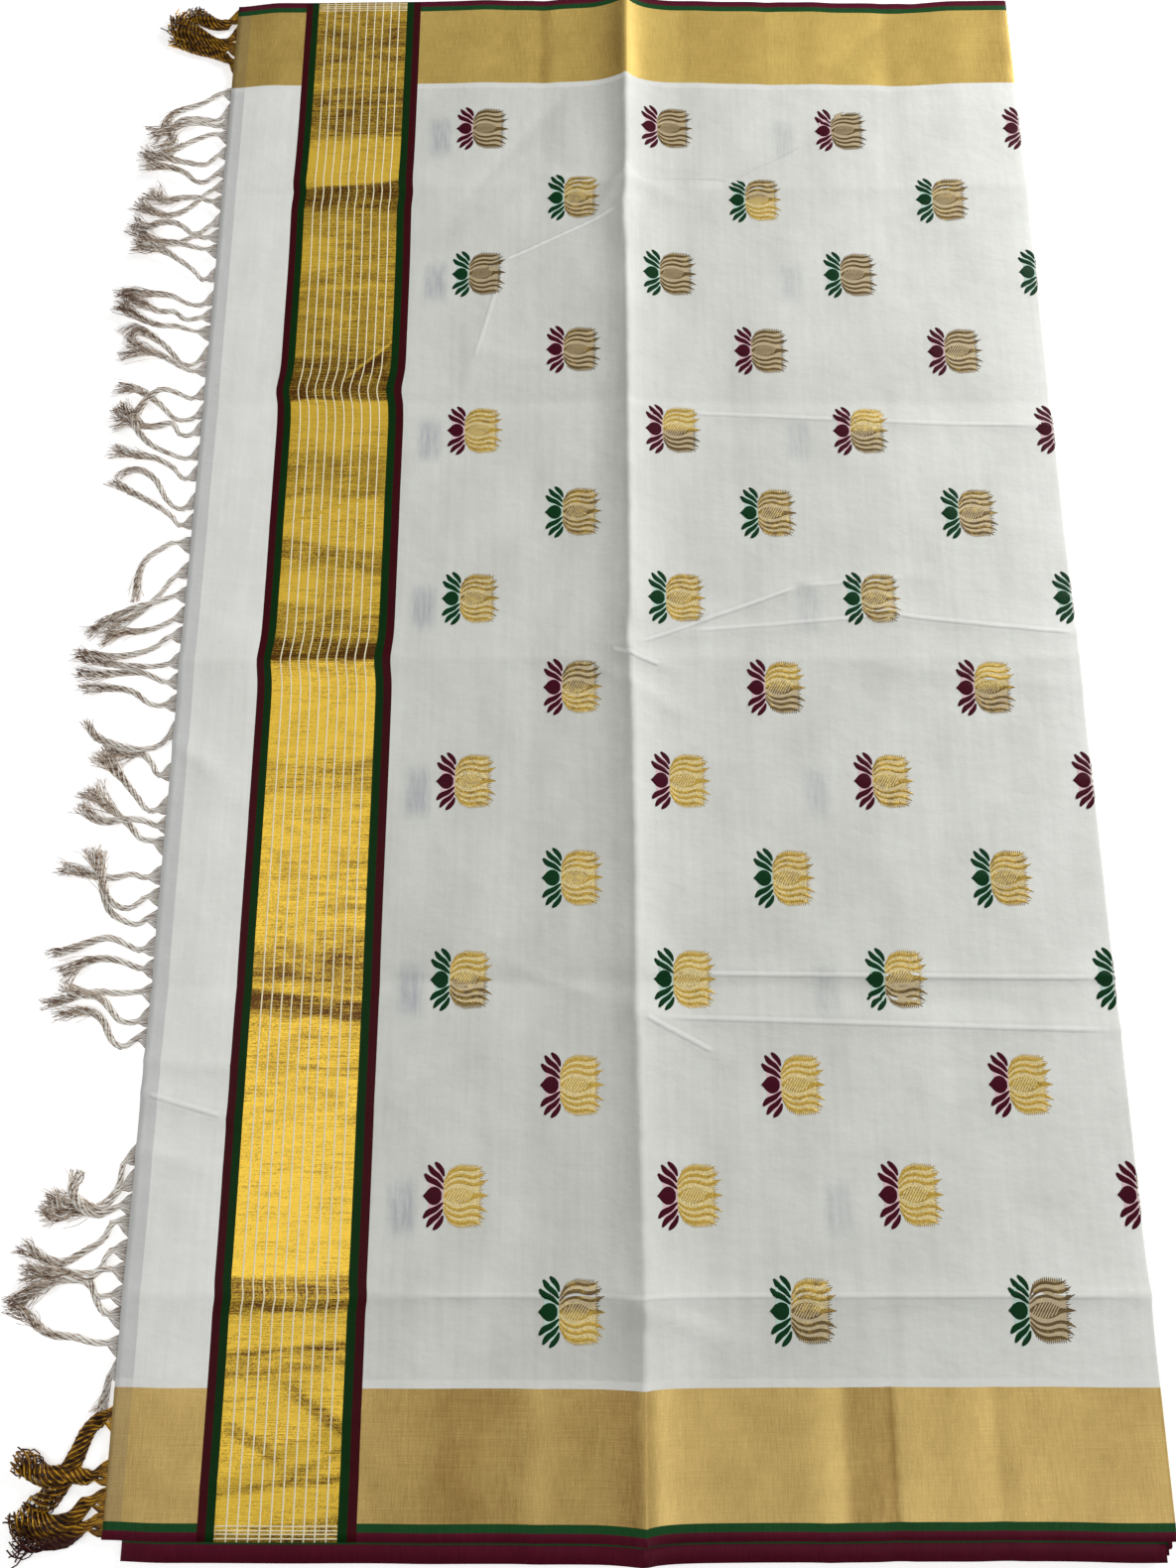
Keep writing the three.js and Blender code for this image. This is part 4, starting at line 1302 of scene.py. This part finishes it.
def tassel_threads(root, route, fray, lift, bulk, count, rng):
    """The points of each thread of a tassel, in millimetres."""
    path, across, run, knot, height = tassel_route(root, route, lift)
    total = run[-1]
    radius = bulk * np.interp(run, [0, knot - 2, knot, knot + 3, total * 0.6, total], BUNDLE)
    gathered = ease(run / knot)
    loose = np.clip((run / total - LOOSE_FROM) / LOOSE_OVER, 0, 1) ** LOOSE_START
    drifts = rng.uniform(-1, 1, STRANDS) * fray * 0.8
    inner = round(INNER_SHARE * count)
    threads = []
    for number in range(count):
        ring = INNER_RING if number < inner else 1.0
        start = math.tau * number / (inner if number < inner else count - inner)
        angle = start + math.tau * run / TWIST_PITCH
        drift = drifts[number % STRANDS] + rng.uniform(-0.4, 0.4) * fray
        wave = rng.uniform(0.2, 0.6) * np.sin(run / rng.uniform(2.5, 5) + rng.uniform(0, math.tau))
        side = gathered * ring * radius * np.cos(angle) + loose * (drift + wave * min(fray, 3))
        fan = (1 - gathered) * ((number + 0.5) / count - 0.5) * ROOT_WIDTH
        flat = path + across * side[:, None]
        flat[:, 1] += fan
        rise = gathered * ring * radius * np.sin(angle) * FLATTEN * (1 - 0.4 * loose)
        rise = rise + loose * rng.uniform(-0.6, 1.2)
        points = np.column_stack([flat, np.maximum(height + rise, THREAD_RADIUS + 0.05)])
        reach = rng.uniform(0.88, 1.0)
        places = np.linspace(0, reach, THREAD_POINTS)
        shares = run / total
        threads.append(np.stack([np.interp(places, shares, column) for column in points.T], axis=-1))
    return threads


# %% Fine hairs that have come loose from the tails
HAIRS = 15
HAIRS_PER_FRAY = 5
HAIR_POINTS = 10
HAIR_RADIUS = 0.17


def tassel_hairs(root, route, fray, lift, bulk, count, rng):
    """Thin hairs that leave the tail from about its middle on and curl away from it."""
    path, across, run, _, height = tassel_route(root, route, lift)
    hairs = []
    for _ in range(count + HAIRS_PER_FRAY * fray):
        start = rng.uniform(0.45, 0.85)
        end = min(start + rng.uniform(0.25, 0.6), 1.0)
        shares = np.linspace(start, end, HAIR_POINTS)
        middle = np.stack([np.interp(shares * run[-1], run, column) for column in path.T], axis=-1)
        aside = np.stack([np.interp(shares * run[-1], run, column) for column in across.T], axis=-1)
        level = np.interp(shares * run[-1], run, height)
        away = np.linspace(0, 1, HAIR_POINTS)
        curl = rng.uniform(0.4, 1.4) * np.sin(away * rng.uniform(5, 12) + rng.uniform(0, math.tau))
        side = rng.uniform(-1.6, 1.6) + away ** 1.5 * rng.uniform(-1, 1) * (2.5 + fray) + curl * away
        flat = middle + aside * side[:, None]
        flat[:, 0] -= away ** 2 * rng.uniform(-2, 5)
        rise = level + rng.uniform(-1, 2.2) + curl * 0.6
        hairs.append(np.column_stack([flat, np.maximum(rise, HAIR_RADIUS + 0.05)]))
    return hairs


# %% Curves with a round section, made into a mesh
def make_fringe(name, tassels, spin, materials, seed, radius, count, bulk=1.0):
    """One mesh of round threads; every third thread has the last of the materials."""
    rng = np.random.default_rng(seed)
    curve = bpy.data.curves.new(name, "CURVE")
    curve.dimensions = "3D"
    curve.bevel_depth = radius * MM
    curve.bevel_resolution = 0
    curve.use_fill_caps = True
    for material in materials:
        curve.materials.append(material)
    for number, (root, route, fray) in enumerate(tassels):
        lift = LIFTS[number % len(LIFTS)]
        for order, points in enumerate(spin(root, route, fray, lift, bulk, count, rng)):
            spline = curve.splines.new("POLY")
            spline.material_index = 0 if order % STRANDS else len(materials) - 1
            spline.points.add(len(points) - 1)
            weighted = np.column_stack([points * MM, np.ones(len(points))])
            spline.points.foreach_set("co", weighted.ravel())
    holder = bpy.data.objects.new(name, curve)
    bpy.context.scene.collection.objects.link(holder)
    bpy.context.view_layer.objects.active = holder
    holder.select_set(True)
    bpy.ops.object.convert(target="MESH")
    fringe = bpy.context.object
    bpy.ops.object.select_all(action="DESELECT")
    smooth(fringe)
    print(name, len(tassels), "tassels,", len(fringe.data.polygons), "faces")
    return fringe


# %% [markdown]
# White yarn is painted grey where it leaves the cloth, as shade under the cloth's edge, its darker
# plies are partly painted shade between the threads, and it is brown where it has frayed. Gold yarn
# has painted shade and highlights: it is dark between its bright threads, and it turns maroon
# beside the selvage. Each tail could have a finish of its own, but one that reads the place along
# the tail serves them all.

# %% Yarn and gold yarn
# Where along X the tails end and where the painted root shade lies, and where along Y the maroon begins
TAILS_END = -416
ROOT_SHADE_FROM, ROOT_SHADE_TO = -352, -342
MAROON_FROM, MAROON_TO = 592, 600


def yarn_finish(name, dark, light, worn_from):
    """Cotton yarn that is worn from a place along X to the tails' end, with painted shade between its
    plies and at its roots.
    """
    finish = Finish(name, Roughness=0.85, Sheen_Weight=0.2, Sheen_Roughness=0.5, Specular_IOR_Level=0.2)
    x, _, where = finish.place()
    # Ply tone, partly painted shade between the threads
    plies_and_shade = finish.noise(where, (7, 2.2, 2.2), 2.0)
    base = finish.colours(finish.spread(plies_and_shade, 0.36, 0.56), dark, light)
    worn = finish.spread(x, TAILS_END, worn_from, 0.85, 0.0)
    spots = finish.noise(where, (6, 3, 3), 2.0)
    patches = finish.spread(spots, 0.42, 0.56, 0.1, 1.2)
    base = finish.colours(worn * patches, base, (104, 70, 48))
    # Painted shade where the threads leave the cloth's edge
    root_shade = finish.spread(x, ROOT_SHADE_FROM, ROOT_SHADE_TO, 0.0, 0.5)
    finish.feed("Base Color", finish.colours(root_shade, base, (128, 120, 114)))
    return finish.material


def zari_yarn_finish(name, dark, light):
    """Gold yarn, its dark and light plies painted shade and highlight."""
    finish = Finish(name, Metallic=0.5, Roughness=0.36, Specular_IOR_Level=0.5)
    _, y, where = finish.place()
    plies_and_shade = finish.noise(where, (9, 3, 3), 2.0)
    base = finish.colours(finish.spread(plies_and_shade, 0.36, 0.64), dark, light)
    selvage = finish.spread(abs(y), MAROON_FROM, MAROON_TO, 0.0, 0.9)
    finish.feed("Base Color", finish.colours(selvage, base, (58, 12, 18)))
    return finish.material


YARN = yarn_finish("yarn", (222, 214, 204), (255, 255, 252), -402.0)
HAIR = yarn_finish("yarn_hair", (112, 84, 60), (206, 188, 168), -384.0)
# A shaded and a lit copy of the gold yarn: every third thread is the painted highlight
ZARI_YARN_SHADED = zari_yarn_finish("zari_yarn_shaded", (40, 18, 2), (116, 74, 8))
ZARI_YARN_LIT = zari_yarn_finish("zari_yarn_lit", (112, 72, 8), (228, 176, 46))
ZARI_YARNS = (ZARI_YARN_SHADED, ZARI_YARN_LIT)
ZARI_THREADS, ZARI_RADIUS, ZARI_BULK = 34, 0.5, 2.5
white_fringe = make_fringe("white_fringe", WHITE_TASSELS, tassel_threads, (YARN, HAIR), 3,
                           THREAD_RADIUS, THREADS)
loose_hairs = make_fringe("loose_hairs", WHITE_TASSELS, tassel_hairs, (HAIR,), 4, HAIR_RADIUS, HAIRS)
zari_fringe_far = make_fringe("zari_fringe_far", ZARI_FAR_TASSELS, tassel_threads, ZARI_YARNS, 5,
                              ZARI_RADIUS, ZARI_THREADS, ZARI_BULK)
zari_fringe_near = make_fringe("zari_fringe_near", ZARI_NEAR_TASSELS, tassel_threads, ZARI_YARNS, 7,
                               ZARI_RADIUS, ZARI_THREADS, ZARI_BULK)

# %% A pale floor, for the picture alone
FLOOR_SIZE_M = 6
bpy.ops.mesh.primitive_plane_add(size=FLOOR_SIZE_M, location=(0, 0, 0))
floor = bpy.context.object
floor.name = "floor"
floor_finish = Finish("floor", Roughness=0.9, Emission_Color=(1, 1, 1, 1), Emission_Strength=0.5)
_, _, floor_place = floor_finish.place()
floor_cloud = floor_finish.noise(floor_place, (400, 400, 400), 2.0)
floor_colour = floor_finish.colours(floor_cloud, (236, 236, 236), (243, 243, 243))
floor_finish.feed("Base Color", floor_colour)
floor.data.materials.append(floor_finish.material)
bpy.ops.object.select_all(action="DESELECT")

# %% [markdown]
# ## Attaching the pieces
# Each piece rides on the one body of the row, and the model's solids that the pieces replace are hidden.

# %% Ride and replace
fringes = (white_fringe, loose_hairs, zari_fringe_far, zari_fringe_near)
for piece in (top_cloth, second_cloth, hidden_cloth, cream_threads, motifs, *fringes):
    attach(piece, "root")
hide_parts("top_stretch")
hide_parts("second_stretch")
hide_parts("folded_layers")
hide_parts("fringe_white")
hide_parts("fringe_zari_far")
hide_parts("fringe_zari_near")
